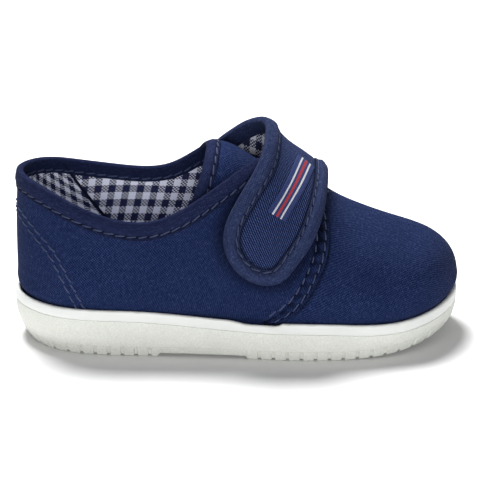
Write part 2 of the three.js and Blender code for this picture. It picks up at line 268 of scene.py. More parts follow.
class Skin:
    """The points and faces of one closed surface, in millimetres on the last's axes."""

    def __init__(self):
        self.points, self.cloth, self.hollow, self.faces, self.count = [], [], [], [], 0

    def add(self, points, cloth=None, hollow=0.0):
        shape = np.shape(points)[:-1]
        size = int(np.prod(shape))
        self.points.append(np.reshape(points, (-1, 3)))
        self.cloth.append(np.zeros((size, 2)) if cloth is None else np.reshape(cloth, (-1, 2)))
        self.hollow.append(np.broadcast_to(hollow, shape).ravel())
        self.count += size
        return np.arange(self.count - size, self.count).reshape(shape)

    def join(self, grid, wrap=False):
        if wrap:
            grid = np.column_stack([grid, grid[:, 0]])
        corners = (grid[:-1, :-1], grid[:-1, 1:], grid[1:, 1:], grid[1:, :-1])
        self.faces += np.stack(corners, -1).reshape(-1, 4).tolist()

    def piece(self, name, material, crease=None, marks=None):
        mesh = bpy.data.meshes.new(name)
        points = (np.concatenate(self.points) + (0, ACROSS, 0)) / 1000
        mesh.from_pydata(points.tolist(), [], self.faces)
        marks = dict(marks or {})
        hollow = np.concatenate(self.hollow)
        if hollow.any():
            marks["hollow"] = hollow
        for key, values in marks.items():
            mesh.attributes.new(key, "FLOAT", "POINT").data.foreach_set("value", values)
        corner = np.empty(len(mesh.loops), int)
        mesh.loops.foreach_get("vertex_index", corner)
        mesh.uv_layers.new(name="cloth").data.foreach_set("uv", np.concatenate(self.cloth)[corner].ravel())
        work = bmesh.new()
        work.from_mesh(mesh)
        bmesh.ops.remove_doubles(work, verts=work.verts, dist=2e-6)
        bmesh.ops.dissolve_degenerate(work, dist=1e-7, edges=work.edges)
        bmesh.ops.recalc_face_normals(work, faces=work.faces)
        work.to_mesh(mesh)
        work.free()
        mesh.shade_smooth()
        if crease:
            mesh.set_sharp_from_angle(angle=math.radians(crease))
        mesh.materials.append(material)
        return put(name, mesh)


def nearest_groove(x):
    """How far x is from the middle of the nearest groove."""
    far = np.full(np.shape(x), 99.0)
    for first, count, pitch in GROOVES:
        place = first + pitch * np.clip(np.round((x - first) / pitch), 0, count - 1)
        far = np.minimum(far, np.abs(x - place))
    return far


def in_groove(x):
    return 1 - ease(GROOVE_HALF - 0.12, GROOVE_HALF + 0.08, nearest_groove(x))


def toe_spring(x):
    """How far the tread rises towards the toe."""
    share = (x - TOE_SPRING["start"]) / (HALF_LENGTH - TOE_SPRING["start"])
    return TOE_SPRING["rise"] * np.clip(share, 0, None) ** 2


def tread_level(x):
    arch = ease(ARCH[0] - ARCH_SLOPE, ARCH[0] + ARCH_SLOPE, x)
    arch = arch * (1 - ease(ARCH[1] - ARCH_SLOPE, ARCH[1] + ARCH_SLOPE, x))
    return toe_spring(x) + TREAD_DEPTH * arch


def lip_rise(x):
    """The lip stands a little higher behind the waist and under the seam."""
    return sum(rise * near(x - middle, reach) for rise, middle, reach in LIP_SWELLS)


def draw_in(rib):
    """How far the wall is drawn in at the tread."""
    end = np.where(np.cos(rib) > 0, DRAW_IN["heel"], DRAW_IN["toe"])
    return DRAW_IN["side"] + (end - DRAW_IN["side"]) * np.cos(rib) ** 4


def tread_x(rib):
    return foot(rib, draw_in(rib))[0]


# Stations along the sole: even ones round the ends, and a close set at each wall of each groove.
ends = tread_x(np.array([0.0, math.pi]))
stations = ends.mean() - (ends[1] - ends[0]) / 2 * np.cos(np.linspace(0, math.pi, 150))
stations = stations[nearest_groove(stations) > 0.9]
close = [stations]
for first, count, pitch in GROOVES:
    middles = first + pitch * np.arange(count)
    for far in (0.30, 0.43, 0.50, 0.56, 0.63, 0.78):
        close += [middles - far, middles + far]
for end in ARCH:
    close.append(end + np.array([-1, -1 / 3, 1 / 3, 1]) * ARCH_SLOPE)
stations = np.unique(np.round(np.concatenate(close), 4))
stations = stations[(stations > ends[0] + 0.01) & (stations < ends[1] - 0.01)]
stations = np.concatenate([[ends[0]], stations, [ends[1]]])

outer_ribs = rib_at(stations, tread_x, True)
inner_ribs = rib_at(stations, tread_x, False)
outer_ribs[0], outer_ribs[-1] = 0, math.pi
ribs = np.concatenate([outer_ribs, inner_ribs[-2:0:-1]])
station_x = np.concatenate([stations, stations[-2:0:-1]])

sole = Skin()
edge_top = sole_top(fold_x(ribs)) + lip_rise(station_x)
parting = edge_top - PARTING_DROP
dip = LIP_DIP["depth"] * ease(*LIP_DIP["start"], station_x) * (1 - ease(*LIP_DIP["end"], station_x))
dip = dip * (np.sin(ribs) > 0)
tread = tread_level(station_x)
groove = in_groove(station_x)
groove_roof = tread + TREAD_DEPTH * groove
bottom = tread + GROOVE_MOUTH * groove
# Thin flash of rubber makes the lip's edge slightly ragged against the cloth.
flash = 0.5 + 0.5 * np.sin(61 * ribs + 2 * np.sin(17 * ribs)) * np.sin(23 * ribs + 1.3)


def sole_row(inset, height):
    """One ring of points round the sole."""
    x, y = foot(ribs, inset - HEEL_FULLNESS * ease(0.7, 1.0, np.cos(ribs)))
    return np.column_stack([x, y, np.broadcast_to(height, x.shape)])


sole_rows = [sole_row(draw_in(ribs) + 1.0, bottom), sole_row(draw_in(ribs) + 0.45, bottom + 0.03)]
for share in WALL_SHARES:
    height = bottom + share * (parting - 0.4 - bottom)
    up = (height - tread) / (parting - tread)
    edge = 0.3 * (1 - share / 0.03) ** 2 if share < 0.03 else 0
    nick = NICK_DEPTH * groove * (1 - ease(NICK_HEIGHT - 0.7, NICK_HEIGHT, height - tread))
    sole_rows.append(sole_row(draw_in(ribs) * (1 - up) ** 2.3 + 0.12 + edge + nick, height))
for above, inset in BAND:
    sole_rows.append(sole_row(inset, parting + above))
for k, (above, inset) in enumerate(LIP):
    ragged = 0.16 * (flash - 0.5) * (2 <= k <= 4)
    sole_rows.append(sole_row(inset - 0.5 * ragged, edge_top - dip + above + ragged))
low = footbed(fold_x(ribs))
for share in (0.5, 1.0):
    sole_rows.append(sole_row(RIM, edge_top - LIP_INSIDE + share * (low - edge_top + LIP_INSIDE)))
sole_ids = np.array([sole.add(row) for row in sole_rows])
sole.join(sole_ids, wrap=True)


def cross_strips(skin, ids, points, heights, strips):
    """A level face made of strips from the outer side to the inner one at each station."""
    n = len(heights) - 1
    outer, inner = np.arange(n + 1), (2 * n - np.arange(n + 1)) % (2 * n)
    columns = [ids[outer]]
    for k in range(1, strips):
        at = points[outer] + (points[inner] - points[outer]) * k / strips
        at[:, 2] = heights
        columns.append(skin.add(at))
    columns.append(ids[inner])
    skin.join(np.array(columns).T)


cross_strips(sole, sole_ids[0], sole_rows[0], groove_roof[: len(stations)], 10)
cross_strips(sole, sole_ids[-1], sole_rows[-1], footbed(fold_x(outer_ribs)), 6)


def maths(tree, operation, a, b=0.0, c=0.0, clamp=False):
    return node(tree, "ShaderNodeMath", {0: a, 1: b, 2: c}, operation=operation, use_clamp=clamp).outputs[0]


def times(tree, a, b):
    return maths(tree, "MULTIPLY", a, b)


def noise(tree, place, scale, detail):
    sockets = {"Vector": place, "Scale": scale, "Detail": detail}
    return node(tree, "ShaderNodeTexNoise", sockets).outputs["Fac"]


def mark(tree, name):
    return node(tree, "ShaderNodeAttribute", attribute_name=name).outputs["Fac"]


def ramp(tree, value, low, high, first=0.0, last=1.0):
    """The value carried over from one range to another, and held at the ends."""
    ends = {"Value": value, "From Min": low, "From Max": high, "To Min": first, "To Max": last}
    return node(tree, "ShaderNodeMapRange", ends).outputs["Result"]


def blend(tree, share, first, last):
    return node(tree, "ShaderNodeMix", {"Factor": share, 6: first, 7: last}, data_type="RGBA").outputs[2]


def scaled(tree, vector, by):
    return node(tree, "ShaderNodeVectorMath", {0: vector, "Scale": by}, operation="SCALE").outputs[0]


def relief(tree, shader, height, strength, distance):
    """Fine relief in a surface, from the height of a pattern."""
    bump = node(tree, "ShaderNodeBump", {"Strength": strength, "Distance": distance, "Height": height})
    tree.links.new(bump.outputs["Normal"], shader.inputs["Normal"])


rubber, shader, tree = finish_named("white rubber", Roughness=0.5, Specular_IOR_Level=0.4)
place = node(tree, "ShaderNodeTexCoord").outputs["Object"]
above = mark(tree, "above_parting")
smooth_band = ramp(tree, above, -0.3, 0.1)
rough_wall = maths(tree, "SUBTRACT", 1.0, smooth_band)
stipple = noise(tree, place, 2000.0, 3.0)
grubby = ramp(tree, noise(tree, place, 90.0, 4.0), 0.3, 0.7, 0.93)
# The wall grows darker towards the tread.
darker_low = ramp(tree, above, -11.5, -7.0, 0.86)
pebbles = times(tree, maths(tree, "SUBTRACT", stipple, 0.52), times(tree, rough_wall, 0.42))
flute_line = maths(tree, "COMPARE", mark(tree, "above_flutes"), 0.0, 0.13)
tone_scale = times(tree, grubby, darker_low)
tone_scale = times(tree, tone_scale, maths(tree, "MULTIPLY_ADD", flute_line, -0.07, 1.0))
tone_scale = times(tree, tone_scale, maths(tree, "ADD", pebbles, 1.0))
tone = blend(tree, smooth_band, RUBBER_WALL, RUBBER_BAND)
tree.links.new(scaled(tree, tone, tone_scale), shader.inputs["Base Color"])
tree.links.new(ramp(tree, smooth_band, 0.0, 1.0, 0.72, 0.42), shader.inputs["Roughness"])
relief(tree, shader, stipple, ramp(tree, smooth_band, 0.0, 1.0, 0.9, 0.06), 0.0003)

sole_points = np.concatenate(sole.points)
along_sole = np.clip(sole_points[:, 0], -HALF_LENGTH, HALF_LENGTH)
outsole = sole.piece("outsole_moulding", rubber, crease=38, marks={
    "above_parting": sole_points[:, 2] - sole_top(along_sole) - lip_rise(along_sole) + PARTING_DROP,
    "above_flutes": sole_points[:, 2] - toe_spring(along_sole) - NICK_HEIGHT,
})
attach(outsole, "root")
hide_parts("outsole")


# ---- Last ----
# The cloth is pulled over a last. Its surface is a ring of ribs: theta is 0 at the sole's edge and a
# right angle on the crest, and below 0 the cloth runs straight down into the sole.

TUCK_RISE = 9  # the cloth has turned in over this height above the sole's edge
HEM = 0.8  # it ends this far above the footbed
RIGHT_ANGLE = math.pi / 2


def form(rib, theta, top=crest):
    """A point of the last."""
    x0 = fold_x(rib)
    lift = np.sin(theta)
    spread = np.cos(theta) * (1 + full(x0) * lift * lift)
    base = sole_top(x0)
    middle = spine(x0)
    rise = (top(middle + (x0 - middle) * spread) - base) * lift
    edge_x, edge_y = foot(rib, TUCK * np.clip(1 - rise / TUCK_RISE, 0, None) ** 2)
    x = middle + (edge_x - middle) * spread
    side = crest_y(middle)
    return np.stack([x, side + (edge_y - side) * spread, base + (top(x) - base) * lift], -1)


def unit(vectors):
    return vectors / np.linalg.norm(vectors, axis=-1, keepdims=True)


def last_frame(rib, theta, top=crest):
    """The point and the outward direction at a place on the last."""
    rib, theta = np.broadcast_arrays(np.asarray(rib, float), np.asarray(theta, float))
    step = 1e-3
    safe = np.minimum(theta, RIGHT_ANGLE - 2 * step)
    along = form(rib + step, safe, top) - form(rib - step, safe, top)
    up = form(rib, safe + step, top) - form(rib, np.maximum(safe - step, 0), top)
    out = unit(np.cross(along, up))
    x = spine(fold_x(rib))
    level = np.stack([(top(x - step) - top(x + step)) / (2 * step), 0 * x, 1 + 0 * x], -1)
    out = np.where((theta > RIGHT_ANGLE - 1e-4)[..., None], unit(level), out)
    return form(rib, theta, top), out


def cloth_point(rib, theta, off):
    """A point off the last by some millimetres; theta below 0 goes down inside the sole."""
    p, n = last_frame(rib, np.maximum(theta, 0))
    p = p + n * np.asarray(off)[..., None]
    x, y = foot(rib, TUCK - off)
    x0 = fold_x(rib)
    z = sole_top(x0) + theta * (sole_top(x0) - footbed(x0) - HEM)
    return np.where((theta < 0)[..., None], np.stack([x, y, z], -1), p)


def along_line(p):
    """The distance run at each point of a line."""
    return np.concatenate([[0], np.cumsum(np.linalg.norm(np.diff(p, axis=0), axis=1))])


def walk(surface, a, b, way, far, nudge):
    """The places reached by walking some millimetres over a surface in the given directions."""
    count = max(1, math.ceil(abs(far) / 0.8))
    for _ in range(count):
        p, n = surface(a, b)
        step = unit(way - n * np.sum(way * n, -1, keepdims=True)) * far / count
        da = (surface(a + nudge[0], b)[0] - p) / nudge[0]
        db = (surface(a, b + nudge[1])[0] - p) / nudge[1]
        aa, bb, ab = np.sum(da * da, -1), np.sum(db * db, -1), np.sum(da * db, -1)
        ra, rb = np.sum(da * step, -1), np.sum(db * step, -1)
        size = aa * bb - ab * ab
        a, b = a + (bb * ra - ab * rb) / size, b + (aa * rb - ab * ra) / size
    return a, b


def even(surface, a, b, pitch):
    """The same line with its places an even distance apart, and the distance along it."""
    run = along_line(surface(a, b)[0])
    at = np.linspace(0, run[-1], max(2, round(run[-1] / pitch) + 1))
    return np.interp(at, run, a), np.interp(at, run, b), at


def sheet(name, outer, inner, cloth, material, crest_join=False, hollow=0.0):
    """Two grids of points closed into one sheet with rounded edges."""
    skin = Skin()
    hollow = np.broadcast_to(hollow, outer.shape[:2])
    a, b = skin.add(outer, cloth, hollow), skin.add(inner, cloth)
    skin.join(a)
    skin.join(b)
    rows, columns = outer.shape[:2]
    down, across = np.arange(rows)[::-1], np.arange(columns)
    r = [down, np.zeros(columns - 1, int), down[::-1][1:]]
    c = [np.zeros(rows, int), across[1:], np.full(rows - 1, columns - 1)]
    if not crest_join:
        r.append(np.full(columns - 2, rows - 1))
        c.append(across[::-1][1:-1])
    r, c = np.concatenate(r), np.concatenate(c)
    within = outer[np.clip(r, 1, rows - 2), np.clip(c, 1, columns - 2)]
    half = (outer[r, c] - inner[r, c]) / 2
    out = unit(outer[r, c] - within) * np.linalg.norm(half, axis=-1, keepdims=True)
    edges = [a[r, c]]
    for turn in (math.pi / 4, math.pi / 2, 3 * math.pi / 4):
        edge = (outer[r, c] + inner[r, c]) / 2 + half * math.cos(turn) + out * math.sin(turn)
        edges.append(skin.add(edge, cloth[r, c], hollow[r, c]))
    edges.append(b[r, c])
    skin.join(np.array(edges), wrap=not crest_join)
    return skin.piece(name, material)


def wall(name, rib, theta, face, back, *cloth_and_material, **more):
    """A sheet of cloth between two levels off the last."""
    outer, inner = cloth_point(rib, theta, face), cloth_point(rib, theta, back)
    return sheet(name, outer, inner, *cloth_and_material, **more)


# ---- Insole ----
# A firm flat sock of foam under lining cloth. It lies loose on the footbed inside the shoe.

INSOLE_INSET = 4.0
INSOLE_RISE = 0.3
INSOLE_THICKNESS = 2.6
NAVY_CHECK = (0.012, 0.015, 0.062, 1)
PALE_CHECK = (0.84, 0.87, 0.99, 1)
CHECK = (4.5, 5.6)  # one dark and one pale stripe, along and up
TWILL = 1.15  # from dot to dot where a pale and a navy stripe cross
SOCK_EDGE = (  # in from the edge, up
    (2.5, 0), (0.6, 0), (0.1, 0.2), (0, 0.5), (0, 2.0), (0.12, 2.35), (0.45, 2.55), (0.9, INSOLE_THICKNESS),
)


def cloth_place(tree, turn=0.0):
    """Where a point lies on the flat cloth, in millimetres."""
    flat = node(tree, "ShaderNodeUVMap", uv_map="cloth").outputs["UV"]
    if turn:
        flat = node(tree, "ShaderNodeMapping", {"Vector": flat, "Rotation": (0, 0, turn)}).outputs["Vector"]
    return flat


def ripple(tree, place, period):
    """A wave from -1 to 1."""
    return maths(tree, "SINE", times(tree, place, 2 * math.pi / period))


def threads(tree, flat, pitch):
    """The height of a plain weave, from -1 to 1, with slightly uneven threads."""
    wander = node(tree, "ShaderNodeTexNoise", {"Vector": flat, "Scale": 0.35, "Detail": 3.0}).outputs["Color"]
    push = scaled(tree, wander, 0.9 * pitch)
    moved = node(tree, "ShaderNodeVectorMath", {0: flat, 1: push}, operation="ADD").outputs[0]
    split = node(tree, "ShaderNodeSeparateXYZ", {0: moved}).outputs
    return times(tree, ripple(tree, split["X"], pitch), ripple(tree, split["Y"], pitch))


def gingham(name, turn, lean=0.0):
    """Woven check: pale squares, navy squares, and mixed ones of pale and navy dots."""
    made, shader, tree = finish_named(name, Roughness=0.95, Sheen_Weight=0.02, Specular_IOR_Level=0.12)
    flat = cloth_place(tree, turn)
    split = node(tree, "ShaderNodeSeparateXYZ", {0: flat}).outputs
    up = split["Y"]
    along = maths(tree, "MULTIPLY_ADD", up, lean, split["X"])
    stripes = []
    for place, period in zip((along, up), CHECK):
        stripes.append(maths(tree, "MULTIPLY_ADD", ripple(tree, place, period), 9.0, 0.5, clamp=True))
    navy = times(tree, maths(tree, "ADD", *stripes), 0.5)
    twill = [ripple(tree, maths(tree, way, along, up), TWILL) for way in ("ADD", "SUBTRACT")]
    dots = maths(tree, "MULTIPLY_ADD", maths(tree, "ADD", *twill), 0.55, 0.2)
    from_mixed = maths(tree, "ABSOLUTE", maths(tree, "MULTIPLY_ADD", navy, 2.0, -1.0))
    dots = times(tree, dots, maths(tree, "SUBTRACT", 1.0, from_mixed))
    weave = threads(tree, flat, 0.62)
    share = maths(tree, "ADD", maths(tree, "ADD", navy, dots), times(tree, weave, 0.05), clamp=True)
    tree.links.new(blend(tree, share, PALE_CHECK, NAVY_CHECK), shader.inputs["Base Color"])
    relief(tree, shader, weave, 0.5, 0.00012)
    return made


check_lining = gingham("check lining", math.radians(5), lean=0.12)
sock = Skin()
ribs = np.linspace(0, 2 * math.pi, 160, endpoint=False)
sock_x = fold_x(ribs)
low = footbed(sock_x) + INSOLE_RISE
sock_rows = []
for inset, up in SOCK_EDGE:
    x, y = foot(ribs, INSOLE_INSET + inset)
    sock_rows.append(np.column_stack([x, y, low + up]))
sock_ids = np.array([sock.add(row, row[:, :2]) for row in sock_rows])
sock.join(sock_ids, wrap=True)
for ids, row in ((sock_ids[0], sock_rows[0]), (sock_ids[-1], sock_rows[-1])):
    columns = [ids]
    for share in (0.3, 0.6, 0.9):
        at = row.copy()
        at[:, 0] += (0.7 * sock_x - at[:, 0]) * share
        at[:, 1] += (crest_y(sock_x) - at[:, 1]) * share
        at[:, 2] = row[:, 2].min() + (row[:, 2] - row[:, 2].min()) * (1 - share)
        columns.append(sock.add(at, at[:, :2]))
    sock.join(np.array(columns), wrap=True)
    sock.faces.append(columns[-1].tolist())
insole = sock.piece("insole_sock", gingham("sock check", math.radians(7)), crease=60)
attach(insole, "root")
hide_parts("insole")


# ---- Quarters ----
# The back half of the upper, in navy canvas: one wall from seam to seam round the heel. Its front
# edges are folded and lie over the vamp, held down by two rows of stitches on each side.

NAVY = (0.0030, 0.0085, 0.042, 1)
NAVY_LIGHT = (0.032, 0.049, 0.128, 1)
CANVAS = 0.7
SEAM = np.array([
    # girth, rib; girth is -1 at the sole's edge and 0 on the crest
    (-1.0, 1.745), (-0.944, 1.82), (-0.868, 1.88), (-0.737, 1.94), (-0.601, 1.985),
    (-0.425, 2.012), (-0.308, 2.02), (-0.19, 2.02), (0.0, 2.012),
])
THROAT_X = 27
COLLAR_DROP = 0.6  # the cloth's edge lies this far under the binding's top
TOPLINE = np.array([
    # x, outer side, inner side
    (-73.5, 58.0, 58.0), (-66, 56.6, 57.0), (-54, 52.0, 54.3), (-42, 47.8, 52.3), (-32, 46.4, 51.5),
    (-22, 48.6, 53.3), (-13, 53.6, 59.2), (-7, 57.6, 62.6), (-2, 60.8, 61.2), (3, 63.6, 58.4),
    (9, 64.6, 56.4), (16, 60.0, 55.2), (22, 55.2, 53.6), (THROAT_X, 52.0, 52.0),
])
OVERLAP = {"lift": 0.95, "flat": 6.0, "ease": 9.0}
STITCH_PITCH = 3.7
SEAM_ROWS = (1.4, 4.3)  # behind the quarter's front edge
SEAM_SHAPE = {"edge": 0.3, "ridge": 0.6, "groove": 0.45, "pucker": 0.25}
# how much shade is painted on the canvas at the quarter's edge, beside and between its rows, and by the sole
SEAM_PAINTED_SHADE = {"edge": 0.9, "row": 0.65, "pucker": 0.2, "between": 0.65, "sole": 0.5}
SEAM_COLUMNS = ((1, 0.955, 26), (0.955, 0.88, 10))  # shares of the way round, and how many columns
OVER_LIP = {"side": 0.05, "toe": 0.75, "heel": 0.95}  # the cloth bulges over the sole's lip
TOE_PUFF = {"off": 1.9, "height": 13.5, "reach": 7.5}  # the stiffened toe is fuller at its shoulder
TUCK_ROWS = (-1.0, -0.4)  # theta of the rows inside the sole

seam_rib = smooth(SEAM[:, 0], SEAM[:, 1])
outer_topline = smooth(TOPLINE[:, 0], TOPLINE[:, 1])
inner_topline = smooth(TOPLINE[:, 0], TOPLINE[:, 2])


def find_rib_end(rib):
    """Where a rib is cut by the collar; a right angle where it runs on to the crest."""
    low, high = np.zeros(rib.shape), np.full(rib.shape, RIGHT_ANGLE)
    for _ in range(36):
        middle = (low + high) / 2
        p = form(rib, middle)
        line = np.where(np.sin(rib) >= 0, outer_topline(p[..., 0]), inner_topline(p[..., 0]))
        under = p[..., 2] < line - COLLAR_DROP
        low, high = np.where(under, middle, low), np.where(under, high, middle)
    return low


collar_ribs = np.linspace(-2.03, 2.03, 1601)
collar_ends = find_rib_end(collar_ribs)


def rib_end(rib):
    return np.interp(rib, collar_ribs, collar_ends)


def seam_at(theta):
    return seam_rib(-(1 - np.maximum(theta, 0) / RIGHT_ANGLE))


def from_seam(rib, theta):
    """How far a place on the quarter is behind the quarter's front edge."""
    folded = np.abs((rib + math.pi) % (2 * math.pi) - math.pi)
    side = np.where(np.sin(rib) >= 0, 1, -1)
    here, edge = form(rib, np.maximum(theta, 0)), form(side * seam_at(theta), np.maximum(theta, 0))
    return np.linalg.norm(here - edge, axis=-1) * np.where(folded < seam_at(theta), 1, -1)


seam_theta = np.linspace(0, RIGHT_ANGLE, 200)
seam_run = along_line(form(seam_at(seam_theta), seam_theta))


def above_sole(rib, theta):
    return form(rib, np.maximum(theta, 0))[..., 2] - sole_top(fold_x(rib))


def pucker(theta):
    """1 at each stitch of the seam, which draws the canvas in, and -1 between two of them."""
    return np.cos(2 * math.pi * np.interp(theta, seam_theta, seam_run) / STITCH_PITCH)


def quarter_lift(rib, theta):
    """How far the quarter's face stands off the last."""
    away = from_seam(rib, theta)
    lift = OVERLAP["lift"] * (1 - ease(OVERLAP["flat"], OVERLAP["ease"], away))
    lift = lift * (0.3 + 0.7 * ease(0, 4, above_sole(rib, theta)))
    swell = SEAM_SHAPE["pucker"] * pucker(theta)
    lift = lift + SEAM_SHAPE["edge"] * near(away - 0.45, 0.5)
    lift = lift + (SEAM_SHAPE["ridge"] - swell) * near(away - sum(SEAM_ROWS) / 2, 0.8)
    return lift - (SEAM_SHAPE["groove"] + swell) * sum(near(away - row, 0.5) for row in SEAM_ROWS)


def seam_hollow(rib, theta):
    """Painted shade where light hardly reaches the canvas: at the quarter's edge, beside and between its two
    rows, and by the sole.
    """
    away = from_seam(rib, theta)
    dark = SEAM_PAINTED_SHADE["edge"] * (near(away, 0.35) + np.where(away < 0, near(away, 0.9), 0))
    for row in SEAM_ROWS:
        dark = dark + (SEAM_PAINTED_SHADE["row"] + SEAM_PAINTED_SHADE["pucker"] * pucker(theta)) * near(away - row, 0.45)
    between = 0.5 + 0.5 * pucker(theta)
    dark = dark + SEAM_PAINTED_SHADE["between"] * between * near(away - sum(SEAM_ROWS) / 2, 1.3)
    by_sole = SEAM_PAINTED_SHADE["sole"] * (1 - ease(-50, -66, fold_x(rib)))
    return np.clip(dark + by_sole * near(above_sole(rib, theta), 1.2), 0, 1)


def rumple(rib, theta):
    """Soft hollows and ridges that the hand can see in the canvas."""
    p = form(rib, np.maximum(theta, 0))
    x, z = p[..., 0], p[..., 2]
    side = np.sign(np.sin(rib))
    wave = 0.16 * np.sin(x / 6.1 + 0.7 * side) * np.sin(z / 7.3 + 1.1)
    wave = wave + 0.1 * np.sin(x / 3.7 - z / 5.9 + 2 * side)
    above = above_sole(rib, theta)
    gather = 0.13 * np.sin(x / 1.9 + np.sin(x / 5.3)) * near(above - 2.2, 2.4)
    over_lip = OVER_LIP["side"] + OVER_LIP["toe"] * ease(40, 66, x) + OVER_LIP["heel"] * ease(-50, -70, x)
    puff = TOE_PUFF["off"] * ease(46, 64, x) * near(above - TOE_PUFF["height"], TOE_PUFF["reach"])
    return (wave + gather) * ease(0, 3, above) + over_lip * near(above - 2.6, 2.6) + puff


def canvas_lift(rib, theta):
    return quarter_lift(rib, theta) + rumple(rib, theta)


def with_tuck(rib, theta):
    """The grid with two more rows under it, where the cloth runs down into the sole."""
    below = np.array(TUCK_ROWS)[:, None] * np.ones(rib.shape[1])
    return np.vstack([rib[0], rib[0], rib]), np.vstack([below, theta])


def quarter_grid(columns, rows):
    """Places from seam to seam round the heel and from the sole to the collar."""
    front = np.concatenate([np.linspace(*span, endpoint=False) for span in SEAM_COLUMNS])
    rest = SEAM_COLUMNS[-1][1]
    across = np.concatenate([-front, np.linspace(-rest, rest, columns), front[::-1]])
    u, v = np.meshgrid(across, np.linspace(0, 1, rows))
    rib = u * 1.95
    for _ in range(12):
        theta = v * rib_end(rib)
        rib = u * seam_at(theta)
    return with_tuck(rib, theta)


def round_and_up(rib, theta):
    """The flat cloth of a wall: distance round the shoe and distance up it."""
    run = along_line(form(rib[rib.shape[0] // 3], theta[theta.shape[0] // 3]))
    p = cloth_point(rib, theta, np.zeros(rib.shape))
    up = np.vstack([np.zeros(rib.shape[1]), np.cumsum(np.linalg.norm(np.diff(p, axis=0), axis=2), axis=0)])
    return np.stack([np.broadcast_to(run, up.shape), up], -1)


def yarns_and_painted_shade(tree, shader, share, dark, light):
    """Two yarn colours, painted deeper as shade in the hollows beside stitches and folds, where light hardly
    gets in.
    """
    depth = maths(tree, "MULTIPLY_ADD", mark(tree, "hollow"), -0.8, 1.0)
    tree.links.new(scaled(tree, blend(tree, share, dark, light), depth), shader.inputs["Base Color"])


def canvas(name, dark, light, pitch, grain=(1.0, 1.0), strength=0.5):
    """Plain canvas: uneven threads, lighter where they cross, with small pale flecks."""
    made, shader, tree = finish_named(name, Roughness=0.95, Sheen_Weight=0.01, Specular_IOR_Level=0.04)
    flat = cloth_place(tree)
    weave = threads(tree, flat, pitch)
    stretched = node(tree, "ShaderNodeMapping", {"Vector": flat, "Scale": (*grain, 1)}).outputs["Vector"]
    slub = noise(tree, stretched, 0.95, 3.0)
    share = maths(tree, "MULTIPLY_ADD", weave, 0.42, -0.42)
    share = maths(tree, "ADD", share, slub)
    share = maths(tree, "ADD", share, times(tree, noise(tree, flat, 0.09, 3.0), 0.25))
    fleck = ramp(tree, noise(tree, flat, 1.1, 2.0), 0.55, 0.75, 0.0, 0.5)
    yarns_and_painted_shade(tree, shader, maths(tree, "ADD", share, fleck, clamp=True), dark, light)
    relief(tree, shader, maths(tree, "ADD", weave, times(tree, slub, 0.8)), strength, 0.00015)
    return made


body_canvas = canvas("navy canvas", NAVY, NAVY_LIGHT, 0.9, grain=(1.6, 0.6))
rib, theta = quarter_grid(150, 120)
lift = canvas_lift(rib, theta)
quarters = wall(
    "quarters", rib, theta, lift, lift - CANVAS, round_and_up(rib, theta), body_canvas,
    hollow=seam_hollow(rib, theta))
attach(quarters, "root")
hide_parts("upper")


# ---- Vamp ----
# The front of the upper in the same canvas, pulled over the toe. Its back edges run under the
# quarters, and at the middle it ends at the throat, where the tongue is sewn in.

UNDERLAP = 0.085  # how far it runs under the quarters, as an angle round the last
VAMP_ROWS = 60
VAMP_COLUMNS = 300


def vamp_grid():
    """Places from seam to seam round the toe and from the sole to the crest."""
    up = np.linspace(0, RIGHT_ANGLE, VAMP_ROWS + 1)
    u, theta = np.meshgrid(np.linspace(-1, 1, VAMP_COLUMNS + 1), up)
    start = seam_at(theta) - UNDERLAP * (1 - ease(0.75, 0.95, theta / RIGHT_ANGLE))
    throat = rib_at(THROAT_X, lambda r: spine(fold_x(r)), True)
    start = start + (throat - start) * ease(0.8, 1.0, theta / RIGHT_ANGLE)
    return with_tuck(math.pi + u * (math.pi - start), theta)


def fan_out(rib, theta):
    """The flat cloth of the toe: each rib is laid out from the crest in its own direction."""
    p = cloth_point(rib, theta, np.zeros(rib.shape))
    down = np.linalg.norm(np.diff(p, axis=0), axis=2)[::-1].cumsum(0)[::-1]
    down = np.vstack([down, np.zeros(rib.shape[1])])
    middle = spine(fold_x(rib))
    x, y = foot(rib)
    way = unit(np.stack([x - middle, y - crest_y(middle)], -1))
    return np.stack([middle, crest_y(middle)], -1) + way * down[..., None]


vamp_canvas = canvas("vamp canvas", NAVY, NAVY_LIGHT, 0.9, grain=(1.5, 0.7))
rib, theta = vamp_grid()
lift = rumple(rib, theta) * (1 - ease(-1.0, 3.0, from_seam(rib, theta)))
cloth = fan_out(rib, theta)
vamp = wall(
    "vamp", rib, theta, lift, lift - CANVAS, cloth, vamp_canvas, crest_join=True,
    hollow=seam_hollow(rib, theta))
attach(vamp, "root")
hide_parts("upper")


# ---- Lining ----
# Woven check cotton inside the canvas, cut to the same pieces. Inside the heel a slanting piece of
# it is sewn over them, and its two side edges are turned in; thin near-black strips there paint the
# shade in the folds.

LINING = (0.78, 1.5)  # its two faces, in from the last
HEEL_PIECE = {"sole": 1.14, "collar": 0.62, "thickness": 0.45, "fold": 0.011}
HEEL_TOP = 0.985  # it ends just under the collar's edge
FOLD_THICKNESS = 0.3


def heel_places(columns, place):
    """Places over the heel piece, where place(u, edge) is the rib at u from its side edge."""
    u, v = np.meshgrid(np.linspace(-1, 1, columns), np.linspace(0, HEEL_TOP, 40))
    rib = place(u, HEEL_PIECE["sole"] + (HEEL_PIECE["collar"] - HEEL_PIECE["sole"]) * v)
    return rib, v * rib_end(rib), 20 * np.stack([u, v], -1)


